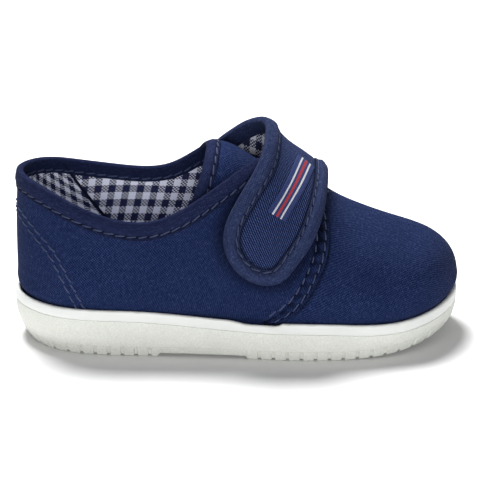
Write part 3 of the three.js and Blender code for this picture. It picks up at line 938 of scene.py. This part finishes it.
toe_lining = wall(
    "vamp_lining", rib, theta, lift - LINING[0], lift - LINING[1], cloth, check_lining, crest_join=True)
rib, theta = quarter_grid(110, 44)
inside = np.zeros(rib.shape)
lining = wall(
    "quarter_lining", rib, theta, inside - LINING[0], inside - LINING[1], round_and_up(rib, theta),
    check_lining)
slanted_lining = gingham("slanted check lining", math.radians(-24))
rib, theta, _ = heel_places(70, lambda u, edge: u * edge)
inside = np.full(rib.shape, -LINING[1] - 0.02)
heel_lining = wall(
    "heel_lining", rib, theta, inside, inside - HEEL_PIECE["thickness"], round_and_up(rib, theta),
    slanted_lining)
for piece in (toe_lining, lining, heel_lining):
    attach(piece, "root")
    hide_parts("upper")
# Near-black cloth for the strips in the folds: painted shade.
fold_shade_cloth = canvas("painted fold shade", (0.004, 0.006, 0.022, 1), (0.02, 0.024, 0.06, 1), 0.7)
for side, name in ((1, "outer"), (-1, "inner")):
    rib, theta, cloth = heel_places(6, lambda u, edge: side * (edge + HEEL_PIECE["fold"] * u))
    inside = np.full(rib.shape, -LINING[1] - HEEL_PIECE["thickness"])
    fold = wall(name + "_lining_fold", rib, theta, inside, inside - FOLD_THICKNESS, cloth, fold_shade_cloth)
    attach(fold, "root")
    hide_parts("upper")


# ---- Collar binding ----
# A folded cotton tape that closes the raw edges of canvas and lining all round the collar, from
# one side of the throat to the other.

COLLAR_TAPE = {"outside": 5.2, "inside": 4.7, "thick": 0.5, "turn": 0.9, "row": 1.2, "roll": 0.6}
# The collar's and tongue's tape is coloured darker than the strap's: painted shade, as these tapes face
# sideways or lie under the strap, out of the light above.
SHADED_BINDING_NAVY = (0.004, 0.007, 0.030, 1)
SHADED_BINDING_PALE = (0.030, 0.040, 0.100, 1)
LAST_NUDGE = (1e-3, 1e-3)
COLLAR_END = -1.53  # on the inner side it ends under the strap


def way_in(p, n, inside, closed=False):
    """Directions over the surface, square to an edge line, towards the cloth."""
    along = np.roll(p, -1, 0) - np.roll(p, 1, 0) if closed else np.gradient(p, axis=0)
    way = np.cross(n, along)
    way = unit(way) * np.sign(np.sum(unit(way) * inside))
    padded = np.pad(way, ((4, 4), (0, 0)), mode="wrap" if closed else "edge")
    soft = np.stack([np.convolve(padded[:, k], np.ones(9) / 9, "valid") for k in range(3)], 1)
    return unit(soft)


def tape(name, surface, nudge, line, inside, face, back, sizes, material, closed=False):
    """A tape folded over an edge: down one side of the cloth, round the edge and down the other.

    Its face side is rolled, with a groove where the stitches draw it in.
    """
    a, b, run = line
    p, n = surface(a, b)
    way = way_in(p, n, inside, closed)
    thick, wide, deep, row, roll = (sizes[key] for key in ("thick", "outside", "inside", "row", "roll"))

    def across(far, level, off):
        at = walk(surface, a, b, way, far, nudge) if far else (a, b)
        q, m = surface(*at)
        base = level(*at) if callable(level) else level + 0 * q[:, 0]
        return q + m * (base + off)[:, None]

    row_at = wide - row
    loop, place, hollow = [], [], []
    # The third number of each row is painted shade: darkest at the tape's edge and in its stitch groove, none
    # on top of the roll; the back side gets a little.
    for far, off, dark in (
        (wide, 0.02, 0.9), (wide, 0.5 * thick, 0.7),
        (wide - 0.1, 0.8 * thick, 0.4), (row_at + 0.4, 0.95 * thick, 0.3),
        (row_at + 0.2, 0.3 * thick, 0.85), (row_at - 0.2, 0.3 * thick, 0.85),
        (row_at - 0.45, 1.1 * thick, 0.25), (row_at - 1.0, (1 + 0.6 * roll) * thick, 0.0),
        (wide / 2, (1 + roll) * thick, 0.0), (wide / 4, (1 + 0.7 * roll) * thick, 0.0),
        (0.5, (1 + 0.25 * roll) * thick, 0.1), (0, thick, 0.2),
    ):
        loop.append(across(far, face, off))
        place.append(-far)
        hollow.append(dark)
    over, under = loop[-1], across(0, back, -thick)
    arm = (over - under) / 2
    for turn in (30, 60, 90, 120, 150):
        turn = math.radians(turn)
        loop.append((over + under) / 2 + arm * math.cos(turn) - way * sizes["turn"] * math.sin(turn))
        place.append(turn)
    loop.append(under)
    place.append(3.2)
    for far, off in (
        (deep / 3, -thick), (deep * 2 / 3, -thick), (deep - 0.3, -thick), (deep, -thick / 2), (deep, -0.02),
    ):
        loop.append(across(far, back, off))
        place.append(3.2 + far)
    loop += [across(0.3, back, -0.02), across(0.3, face, 0.02)]
    place += [3.2, 0]
    skin = Skin()
    cloth = np.stack(np.meshgrid(run, place, indexing="ij"), -1)
    hollow += [0.2] * (len(place) - len(hollow))
    ids = skin.add(np.stack(loop, 1), cloth, hollow)
    skin.join(np.vstack([ids, ids[:1]]) if closed else ids, wrap=True)
    if not closed:
        skin.faces += [ids[0].tolist(), ids[-1].tolist()]
    return skin.piece(name, material, crease=70), way


shaded_binding_cloth = canvas("navy binding", SHADED_BINDING_NAVY, SHADED_BINDING_PALE, 0.7, grain=(0.5, 2.2), strength=0.35)
dense = np.linspace(COLLAR_END, 2.005, 1500)
collar_line = even(last_frame, dense, rib_end(dense), 0.9)
collar_tape, collar_way = tape(
    "collar_binding", last_frame, LAST_NUDGE, collar_line, (0, 0, -1), quarter_lift, -LINING[1],
    COLLAR_TAPE, shaded_binding_cloth)
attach(collar_tape, "root")
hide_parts("upper")


# ---- Tongue ----
# Two layers of canvas with a little wadding, rounded over the instep under the strap. A tape binds
# its free end, and its front end is sewn in at the throat.

TONGUE_THICKNESS = 1.8
TONGUE_SLANT = (4.6, 2.4)  # how far the free end leans back at its outer and inner corners
TONGUE = np.array([
    # x, top, radius, outer half, inner half
    (-10.5, 66.0, 16.2, 23.5, 12.8), (-6, 66.8, 16.6, 22.5, 12.2), (6, 60.6, 18.5, 19.0, 12.6),
    (18, 52.6, 22, 15, 13), (27, 47.2, 25, 13, 12), (33, 43.4, 25, 11, 10.5),
])
TONGUE_TAPE = {"outside": 4.4, "inside": 4.2, "thick": 0.42, "turn": 0.6, "row": 0.9, "roll": 0.6}
TONGUE_SKIN = 0.35  # the canvas lies this far inside the frame's surface
TONGUE_SEAT = 0.38  # and the tape this far
TONGUE_NUDGE = (0.05, 1e-3)
tongue_curves = (smooth(TONGUE[:, 0], TONGUE[:, k]) for k in range(1, 5))
tongue_top, tongue_radius, tongue_outer, tongue_inner = tongue_curves


def tongue_frame(x, side):
    """The tongue's upper face: x along it, side from -1 at its outer edge to 1 at its inner one."""
    x, side = np.broadcast_arrays(np.asarray(x, float), np.asarray(side, float))
    along = (x - TONGUE[0, 0]) / (TONGUE[-1, 0] - TONGUE[0, 0])
    lean = unit(np.stack([tongue_top(x - 0.5) - tongue_top(x + 0.5), 0 * x, 1 + 0 * x], -1))
    radius = tongue_radius(x)
    angle = side * np.where(side < 0, tongue_outer(x), tongue_inner(x)) / radius
    out = np.stack([0 * x, np.sin(angle), 0 * x], -1) + lean * np.cos(angle)[..., None]
    p = np.stack([
        x - np.where(side < 0, TONGUE_SLANT[0], TONGUE_SLANT[1]) * (1 - along) * side ** 2,
        crest_y(x) + radius * np.sin(angle),
        tongue_top(x) - radius * (1 - np.cos(angle)),
    ], -1)
    return p, out


tongue_x = np.linspace(TONGUE[0, 0] + 0.7, TONGUE[-1, 0], 60)
x, side = np.meshgrid(tongue_x, np.linspace(-1, 1, 50), indexing="ij")
p, n = tongue_frame(x, side)
level = TONGUE_SKIN + 0.25 * near(x - TONGUE[0, 0] - 5, 1.2)
cloth = np.stack([x, side * 17], -1)
tongue = sheet(
    "tongue_canvas", p - n * level[..., None], p - n * (TONGUE_THICKNESS - TONGUE_SKIN), cloth, body_canvas)
side_line = np.linspace(-0.999, 0.999, 400)
tongue_line = even(tongue_frame, np.full(400, TONGUE[0, 0] + 0.6), side_line, 0.9)
tongue_tape, tongue_way = tape(
    "tongue_binding", tongue_frame, TONGUE_NUDGE, tongue_line, (1, 0, 0), -TONGUE_SEAT,
    TONGUE_SEAT - TONGUE_THICKNESS, TONGUE_TAPE, shaded_binding_cloth)
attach(tongue, "root")
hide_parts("tongue")
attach(tongue_tape, "root")
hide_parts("tongue")


# ---- Strap ----
# Ribbed canvas backed with the check lining and bound all round with a rounder navy tape, painted
# paler than the collar's as light on its upward faces. It is sewn to the inner quarter, crosses the
# instep and closes with hooks and loops under its round end.

STRAP_LIFT = (0.3, 2.9)  # its two faces, off the last
STRAP_ROUND = (-0.6, -0.846)  # the girths where the round end starts and stops
END_LIFT = 0.9  # the hooks and loops hold the round end a little higher
STRAP_BRIDGE = (0.1, 0.5)  # between these girths the strap comes down on the inner quarter
STRAP_CREST = np.array([
    # x, the strap's height over the crest
    (-75, 89), (-25, 79.5), (-5, 76.8), (3, 75.3), (9.5, 70.8), (14, 65.6), (20, 60.7), (27, 55.1),
    (31, 52.3), (45, 44.4), (75, 34.5),
])
STRAP = np.array([
    # girth, rear edge, front edge
    (-0.846, -7.5, 21.8), (-0.73, -6.4, 20.8), (-0.6, -2.1, 23.6), (-0.4, 5.2, 27.1), (-0.2, 8, 28.4),
    (0, 8.6, 28.7), (0.2, 5.2, 28.3), (0.29, 0.6, 27.7), (0.36, -3.2, 27.0), (0.43, -7.2, 26.0),
    (0.5, -10.0, 24.9), (0.62, -12.5, 22.5),
])
STRAP_TAPE = {"outside": 4.7, "inside": 5.2, "thick": 0.6, "turn": 0.75, "row": 0.85, "roll": 1.1}
STRAP_SEAT = 0.56  # the tape lies this far inside the strap's two faces
STRAP_EDGE = 0.75  # the cloth's edge lies this far inside the tape's fold
STRAP_SHRINK = 0.955  # the share of the strap's width that its two layers of cloth take up
STRAP_PLACE = (-0.1, 17.0)  # a place well inside the strap
STRAP_SHADE = {"reach": 2.2, "most": 0.65}
RIB_PITCH = 0.98
RIB_SLANT = 0.7
BEAD_PITCH = 0.7  # the small bumps along each rib
STRAP_NUDGE = (1e-3, 0.05)
# The strap's tape is coloured paler than the collar's: painted light on a tape that faces up.
STRAP_BINDING_LIT = ((0.010, 0.0155, 0.050, 1), (0.052, 0.072, 0.155, 1))
STRAP_NAVY = (0.002, 0.006, 0.030, 1)
STRAP_LIGHT = (0.075, 0.110, 0.28, 1)
strap_crest = smooth(STRAP_CREST[:, 0], STRAP_CREST[:, 1])
strap_rear, strap_front = smooth(STRAP[:, 0], STRAP[:, 1]), smooth(STRAP[:, 0], STRAP[:, 2])


def strap_frame(girth, x):
    """The form under the strap, at a girth from -1 on the outer side to 1 on the inner one."""
    girth, x = np.broadcast_arrays(np.asarray(girth, float), np.asarray(x, float))
    theta = (1 - np.abs(girth)) * RIGHT_ANGLE
    bridge = 1 - ease(*STRAP_BRIDGE, girth)

    def top(at):
        return crest(at) + (strap_crest(at) - crest(at)) * bridge

    rib = rib_at(x, lambda r: form(r, theta, top)[..., 0], girth <= 0)
    p, n = last_frame(rib, theta, top)
    return p + n * (END_LIFT * ease(-0.5, -0.8, girth))[..., None], n


def strap_places(columns):
    """A grid over the strap from its round end to its root, a little inside its outline."""
    end = STRAP_ROUND[1] - STRAP_ROUND[0]
    round_rows = STRAP_ROUND[0] + end * np.cos(np.linspace(0, RIGHT_ANGLE, 22)[:-1])
    girths = np.concatenate([round_rows, np.linspace(STRAP_ROUND[0], STRAP[-1, 0], 2 * columns)])
    part = np.clip((girths - STRAP_ROUND[0]) / end, 0, 1)
    width = np.sqrt(np.maximum(0, 1 - part ** 2)) * STRAP_SHRINK
    middle = (strap_rear(girths) + strap_front(girths)) / 2
    half = (strap_front(girths) - strap_rear(girths)) / 2 * width
    across = np.sin(np.linspace(-1, 1, columns) * RIGHT_ANGLE)
    pull = STRAP_ROUND[0] + (girths - STRAP_ROUND[0]) * np.where(girths < STRAP_ROUND[0], STRAP_SHRINK, 1)
    return np.broadcast_to(pull[:, None], (len(girths), columns)), middle[:, None] + half[:, None] * across


def strap_outline(inset):
    """The strap's edge from the root along the rear edge, round the end and back to the root."""
    turn = np.linspace(0, math.pi, 240)
    span = np.linspace(STRAP[-1, 0], STRAP_ROUND[0], 300)
    around = STRAP_ROUND[0] + (STRAP_ROUND[1] - STRAP_ROUND[0]) * np.sin(turn)
    middle = (strap_rear(around) + strap_front(around)) / 2
    half = (strap_front(around) - strap_rear(around)) / 2
    girth = np.concatenate([span, around[1:-1], span[::-1]])
    x = np.concatenate([strap_rear(span), (middle - half * np.cos(turn))[1:-1], strap_front(span[::-1])])
    root = np.linspace(0, 1, 60)[1:]
    girth = np.concatenate([girth, np.full(len(root), STRAP[-1, 0])])
    x = np.concatenate([x, x[-1] + (x[0] - x[-1]) * root])
    a, b, _ = even(strap_frame, girth, x, 0.9)
    soft = np.ones(5) / 5
    a, b = (np.convolve(np.pad(at[:-1], 2, mode="wrap"), soft, "valid") for at in (a, b))
    p, n = strap_frame(a, b)
    way = way_in(p, n, strap_frame(*STRAP_PLACE)[0] - p, closed=True)
    a, b = walk(strap_frame, a, b, way, inset, STRAP_NUDGE)
    a, b, run = even(strap_frame, np.append(a, a[0]), np.append(b, b[0]), 0.9)
    return a[:-1], b[:-1], run[:-1]


def ribbed(name):
    """Strap canvas: fine slanting ribs, pale on top and dark between."""
    made, shader, tree = finish_named(name, Roughness=0.9, Sheen_Weight=0.01, Specular_IOR_Level=0.05)
    flat = cloth_place(tree)
    split = node(tree, "ShaderNodeSeparateXYZ", {0: flat}).outputs
    slant = maths(tree, "ADD", split["X"], times(tree, split["Y"], RIB_SLANT))
    slant = maths(tree, "ADD", slant, times(tree, noise(tree, flat, 0.5, 3.0), 0.5))
    beads = times(tree, ripple(tree, split["Y"], BEAD_PITCH), 0.35)
    height = maths(tree, "ADD", ripple(tree, slant, RIB_PITCH), beads)
    slub = times(tree, noise(tree, flat, 1.5, 3.0), 0.75)
    share = maths(tree, "MULTIPLY", maths(tree, "ADD", height, 0.5), slub, clamp=True)
    yarns_and_painted_shade(tree, shader, share, STRAP_NAVY, STRAP_LIGHT)
    relief(tree, shader, height, 0.6, 0.0002)
    return made


strap_line = strap_outline(STRAP_EDGE)
strap_edge = strap_frame(*strap_line[:2])[0]


def strap_layer(name, levels, material, puff=0.0, columns=41):
    """One layer of the strap's cloth, swollen by puff but flat next to the tape, with shade painted darker
    there.
    """
    p, n = strap_frame(*strap_places(columns))
    from_tape = np.linalg.norm(p[:, :, None] - strap_edge, axis=-1).min(-1) - STRAP_TAPE["outside"]
    hollow = near(from_tape - 0.1, 0.5)
    run = np.vstack([np.zeros(p.shape[1]), np.cumsum(np.linalg.norm(np.diff(p, axis=0), axis=2), axis=0)])
    across = np.broadcast_to(np.linspace(-1, 1, p.shape[1]), run.shape)
    cloth = np.stack([p[..., 0] * 1.15, run[:, [run.shape[1] // 2]] + 0 * run], -1)
    swell = (puff * (1 - across ** 4 - 2 * hollow))[..., None]
    return sheet(name, p + n * (levels[1] + swell), p + n * levels[0], cloth, material, hollow=hollow)


def shade_under(piece, line, reach, most):
    """Painted shadow on the canvas close round the strap's edge, where light hardly gets in."""
    edge = kdtree.KDTree(len(line))
    for i, place in enumerate((line + (0, ACROSS, 0)) / 1000):
        edge.insert(place, i)
    edge.balance()
    values = piece.data.attributes["hollow"].data
    for vertex, value in zip(piece.data.vertices, values):
        far = max(0.0, edge.find(vertex.co)[2] * 1000 - reach)
        value.value = min(1.0, value.value + most * math.exp(-(far / reach) ** 2))


for piece in (quarters, vamp):
    shade_under(piece, strap_edge, **STRAP_SHADE)
strap_middle = sum(STRAP_LIFT) / 2
strap_face = strap_layer(
    "strap_face", (strap_middle + 0.05, STRAP_LIFT[1] - 0.48), ribbed("ribbed strap canvas"), 0.12, 81)
strap_back = strap_layer("strap_lining", (STRAP_LIFT[0] + 0.45, strap_middle - 0.05), check_lining)
lit_strap_tape_cloth = canvas("strap binding cloth", *STRAP_BINDING_LIT, 0.7, grain=(0.5, 2.2), strength=0.35)
strap_tape, strap_way = tape(
    "strap_binding", strap_frame, STRAP_NUDGE, strap_line, strap_frame(*STRAP_PLACE)[0] - strap_edge,
    STRAP_LIFT[1] - STRAP_SEAT, STRAP_LIFT[0] + STRAP_SEAT, STRAP_TAPE, lit_strap_tape_cloth, closed=True)
for piece, slot in ((strap_face, "canvas"), (strap_back, "lining_cloth"), (strap_tape, "binding")):
    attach(piece, "root")
    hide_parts("strap")


# ---- Ribbon ----
# A short woven ribbon with plain lengthwise stripes, sewn on the strap's face.

RIBBON_LINE = ((-0.09, 21.0), (-0.33, 17.6), (-0.545, 12.2))  # girth, x
RIBBON_HALF = 3.3
RIBBON_THICKNESS = 0.3
RIBBON_LEVEL = STRAP_LIFT[1] - 0.34
NAVY_STRIPE, WHITE_STRIPE, RED_STRIPE = (0.02, 0.035, 0.13), (0.55, 0.56, 0.60), (0.33, 0.03, 0.04)
STRIPES = (  # where each starts, as a share of the width
    (0.0, NAVY_STRIPE), (0.22, WHITE_STRIPE), (0.31, NAVY_STRIPE), (0.43, RED_STRIPE), (0.57, NAVY_STRIPE),
    (0.69, WHITE_STRIPE), (0.78, NAVY_STRIPE),
)
ribbon_table = np.array(RIBBON_LINE)[::-1]
girth = np.linspace(ribbon_table[0, 0], ribbon_table[-1, 0], 200)
a, b, run = even(strap_frame, girth, smooth(ribbon_table[:, 0], ribbon_table[:, 1])(girth), 0.5)
p, n = strap_frame(a, b)
way = unit(np.cross(n, np.gradient(p, axis=0)))
rows, cloth = [], []
for far in np.linspace(-RIBBON_HALF, RIBBON_HALF, 15):
    places = walk(strap_frame, a, b, way, far, STRAP_NUDGE) if far else (a, b)
    rows.append(strap_frame(*places))
    cloth.append(np.stack([run, 0 * run + far], -1))
p, n = (np.stack([row[k] for row in rows]) for k in range(2))
cloth = np.stack(cloth)
woven, shader, tree = finish_named(
    "striped ribbon", Roughness=0.75, Sheen_Weight=0.02, Specular_IOR_Level=0.2)
split = node(tree, "ShaderNodeSeparateXYZ", {0: cloth_place(tree)}).outputs
stripe = node(tree, "ShaderNodeValToRGB", {"Fac": ramp(tree, split["Y"], -RIBBON_HALF, RIBBON_HALF)})
stripe.color_ramp.interpolation = "CONSTANT"
stops = stripe.color_ramp.elements
for k, (at, colour) in enumerate(STRIPES):
    stop = stops[0] if k == 0 else stops.new(at)
    stop.color = (*colour, 1)
stops[len(STRIPES)].color = (*NAVY_STRIPE, 1)
weft = ripple(tree, split["X"], 0.5)
shade = ramp(tree, weft, -1.0, 1.0, 0.72)
tree.links.new(scaled(tree, stripe.outputs["Color"], shade), shader.inputs["Base Color"])
relief(tree, shader, weft, 0.5, 0.00012)
ribbon = sheet(
    "strap_ribbon", p + n * (RIBBON_LEVEL + RIBBON_THICKNESS), p + n * RIBBON_LEVEL, cloth, woven)
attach(ribbon, "root")


# ---- Stitches ----
# Slate-blue lockstitch, about seven stitches in an inch: one row through each tape, two rows down
# each side seam, two round the heel piece, and two across the strap's root.

THREAD_DARK = (0.010, 0.015, 0.044, 1)
THREAD_PALE = (0.068, 0.088, 0.175, 1)
STITCH = {"Pitch": STITCH_PITCH, "Stitch Length": 3.1, "Thread Radius": 0.29, "Height": 0.36}
THREAD_SINK = 0.45  # the thread's level in a tape's groove, as a share of the tape's thickness
HEEL_ROW = np.array([
    # girth, x
    (-1.0, -52.6), (-0.932, -55.9), (-0.876, -58.9), (-0.830, -61.9), (-0.787, -66.6), (-0.752, -71.0),
])
thread, shader, tree = finish_named("slate thread", Roughness=0.8, Specular_IOR_Level=0.2)
twist = noise(tree, node(tree, "ShaderNodeTexCoord").outputs["Object"], 1800.0, 2.0)
tree.links.new(blend(tree, twist, THREAD_DARK, THREAD_PALE), shader.inputs["Base Color"])


def stitch_tree():
    """Stitches along a line that carries the direction out of the cloth at each point."""
    tree = bpy.data.node_groups.new("lockstitch", "GeometryNodeTree")
    tree.interface.new_socket("Seam", in_out="INPUT", socket_type="NodeSocketGeometry")
    for name, size in STITCH.items():
        socket = tree.interface.new_socket(name, in_out="INPUT", socket_type="NodeSocketFloat")
        socket.default_value = size / 1000
    tree.interface.new_socket("Seed", in_out="INPUT", socket_type="NodeSocketInt").default_value = 4
    tree.interface.new_socket("Thread", in_out="INPUT", socket_type="NodeSocketMaterial")
    tree.interface.new_socket("Stitches", in_out="OUTPUT", socket_type="NodeSocketGeometry")
    given = node(tree, "NodeGroupInput").outputs
    line = node(tree, "GeometryNodeMeshToCurve", {"Mesh": given["Seam"]})
    points = node(tree, "GeometryNodeResampleCurve", {
        "Curve": line.outputs["Curve"], "Length": given["Pitch"]}, mode="LENGTH")
    half = times(tree, given["Stitch Length"], 0.5)
    start = node(tree, "ShaderNodeCombineXYZ", {"X": times(tree, half, -1.0), "Z": -0.00012})
    end = node(tree, "ShaderNodeCombineXYZ", {"X": half, "Z": -0.00012})
    top = node(tree, "ShaderNodeCombineXYZ", {"Z": given["Height"]})
    arc = node(tree, "GeometryNodeCurveQuadraticBezier", {
        "Resolution": 6, "Start": start.outputs[0], "Middle": top.outputs[0], "End": end.outputs[0]})
    ring = node(tree, "GeometryNodeCurvePrimitiveCircle", {"Resolution": 6, "Radius": given["Thread Radius"]})
    strand = node(tree, "GeometryNodeCurveToMesh", {
        "Curve": arc.outputs["Curve"], "Profile Curve": ring.outputs["Curve"], "Fill Caps": True})
    strand = node(tree, "GeometryNodeSetShadeSmooth", {"Geometry": strand.outputs["Mesh"]})
    out = node(tree, "GeometryNodeInputNamedAttribute", {"Name": "out"}, data_type="FLOAT_VECTOR")
    turn = node(tree, "FunctionNodeAxesToRotation", {
        0: out.outputs["Attribute"], 1: node(tree, "GeometryNodeInputTangent").outputs["Tangent"]},
        primary_axis="Z", secondary_axis="X")
    slant = node(tree, "FunctionNodeRotateRotation", {
        "Rotation": turn.outputs["Rotation"], "Rotate By": (0, 0, 0.15)}, rotation_space="LOCAL")
    uneven = node(tree, "FunctionNodeRandomValue", {"Seed": given["Seed"]}, data_type="FLOAT_VECTOR")
    uneven.inputs[0].default_value = (0.88, 0.9, 0.9)
    uneven.inputs[1].default_value = (1.06, 1.1, 1.1)
    laid = node(tree, "GeometryNodeInstanceOnPoints", {
        "Points": points.outputs["Curve"], "Instance": strand.outputs["Geometry"],
        "Rotation": slant.outputs["Rotation"], "Scale": uneven.outputs["Value"]})
    real = node(tree, "GeometryNodeRealizeInstances", {"Geometry": laid.outputs["Instances"]})
    dyed = node(tree, "GeometryNodeSetMaterial", {
        "Geometry": real.outputs["Geometry"], "Material": given["Thread"]})
    node(tree, "NodeGroupOutput", {"Stitches": dyed.outputs["Geometry"]})
    return tree


lockstitch = stitch_tree()
sockets = {item.name: item.identifier for item in lockstitch.interface.items_tree}


def sew(name, lines):
    """One piece of thread for some lines, each a row of points and of directions out of the cloth."""
    mesh = bpy.data.meshes.new(name)
    points = (np.concatenate([line[0] for line in lines]) + (0, ACROSS, 0)) / 1000
    edges, first = [], 0
    for p, _ in lines:
        edges += [(first + i, first + i + 1) for i in range(len(p) - 1)]
        first += len(p)
    mesh.from_pydata(points.tolist(), edges, [])
    out = np.concatenate([line[1] for line in lines])
    mesh.attributes.new("out", "FLOAT_VECTOR", "POINT").data.foreach_set("vector", out.ravel())
    piece = put(name, mesh)
    sewing = piece.modifiers.new("lockstitch", "NODES")
    sewing.node_group = lockstitch
    for key, size in STITCH.items():
        sewing[sockets[key]] = size / 1000
    sewing[sockets["Thread"]] = thread
    shown = piece.evaluated_get(bpy.context.evaluated_depsgraph_get())
    result = bpy.data.meshes.new_from_object(shown)
    piece.modifiers.clear()
    piece.data = result
    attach(piece, "root")


def row_on(surface, nudge, line, way, far, level, off, flip=1):
    """A sewing line some millimetres in from an edge line."""
    a, b = walk(surface, line[0], line[1], way, far, nudge)
    p, n = surface(a, b)
    base = level(a, b) if callable(level) else level
    return p + n * (base + off + 0 * p[:, 0])[:, None], n * flip


def row_in_groove(surface, nudge, line, way, level, sizes):
    """The row that lies in a tape's groove, on its face side."""
    far = sizes["outside"] - sizes["row"]
    return row_on(surface, nudge, line, way, far, level, THREAD_SINK * sizes["thick"])


sew("collar_stitches", [
    row_in_groove(last_frame, LAST_NUDGE, collar_line, collar_way, quarter_lift, COLLAR_TAPE),
    row_on(
        last_frame, LAST_NUDGE, collar_line, collar_way, COLLAR_TAPE["inside"] - 1.4, -LINING[1],
        0.02 - COLLAR_TAPE["thick"], flip=-1),
])
strap_row = row_in_groove(
    strap_frame, STRAP_NUDGE, strap_line, strap_way, STRAP_LIFT[1] - STRAP_SEAT, STRAP_TAPE)
sew("strap_stitches", [tuple(np.vstack([part, part[:1]]) for part in strap_row)])
sew("tongue_stitches", [
    row_in_groove(tongue_frame, TONGUE_NUDGE, tongue_line, tongue_way, -TONGUE_SEAT, TONGUE_TAPE)])
seam_lines = []
for side in (1, -1):
    theta = np.linspace(0.02, 1.2, 200)
    line = even(last_frame, side * seam_at(theta), theta, 0.9)
    p, n = last_frame(*line[:2])
    way = way_in(p, n, form(line[0] - 0.2 * side, line[1]) - p)
    for far in SEAM_ROWS:
        seam_lines.append(row_on(last_frame, LAST_NUDGE, line, way, far, quarter_lift, 0.02))
sew("seam_stitches", seam_lines)
heel_x = smooth(HEEL_ROW[:, 0], HEEL_ROW[:, 1])
girth = np.linspace(-0.995, HEEL_ROW[-1, 0], 120)
theta = (1 + girth) * RIGHT_ANGLE
outer_rib = rib_at(heel_x(girth), lambda r: form(r, theta)[..., 0], True)
# Round the back the two sides' lines are joined by a slightly arched one.
join = np.linspace(outer_rib[-1], -outer_rib[-1], 40)[1:-1]
arch = theta[-1] + 0.02 * np.cos(np.linspace(-1, 1, len(join)) * RIGHT_ANGLE)
heel_rib = np.concatenate([outer_rib, join, -outer_rib[::-1]])
heel_line = even(last_frame, heel_rib, np.concatenate([theta, arch, theta[::-1]]), 0.9)
heel_way = way_in(*last_frame(*heel_line[:2]), (0, 0, 1))
sew("heel_stitches", [
    row_on(last_frame, LAST_NUDGE, heel_line, heel_way, far, canvas_lift, 0.02) for far in (0.05, 2.4)])
root_lines = []
for girth_at in (0.6, 0.55):
    x = np.linspace(strap_rear(girth_at) + 5.5, strap_front(girth_at) - 5.5, 60)
    p, n = strap_frame(np.full(60, girth_at), x)
    root_lines.append((p + n * (STRAP_LIFT[1] - 0.4), n))
sew("strap_root_stitches", root_lines)
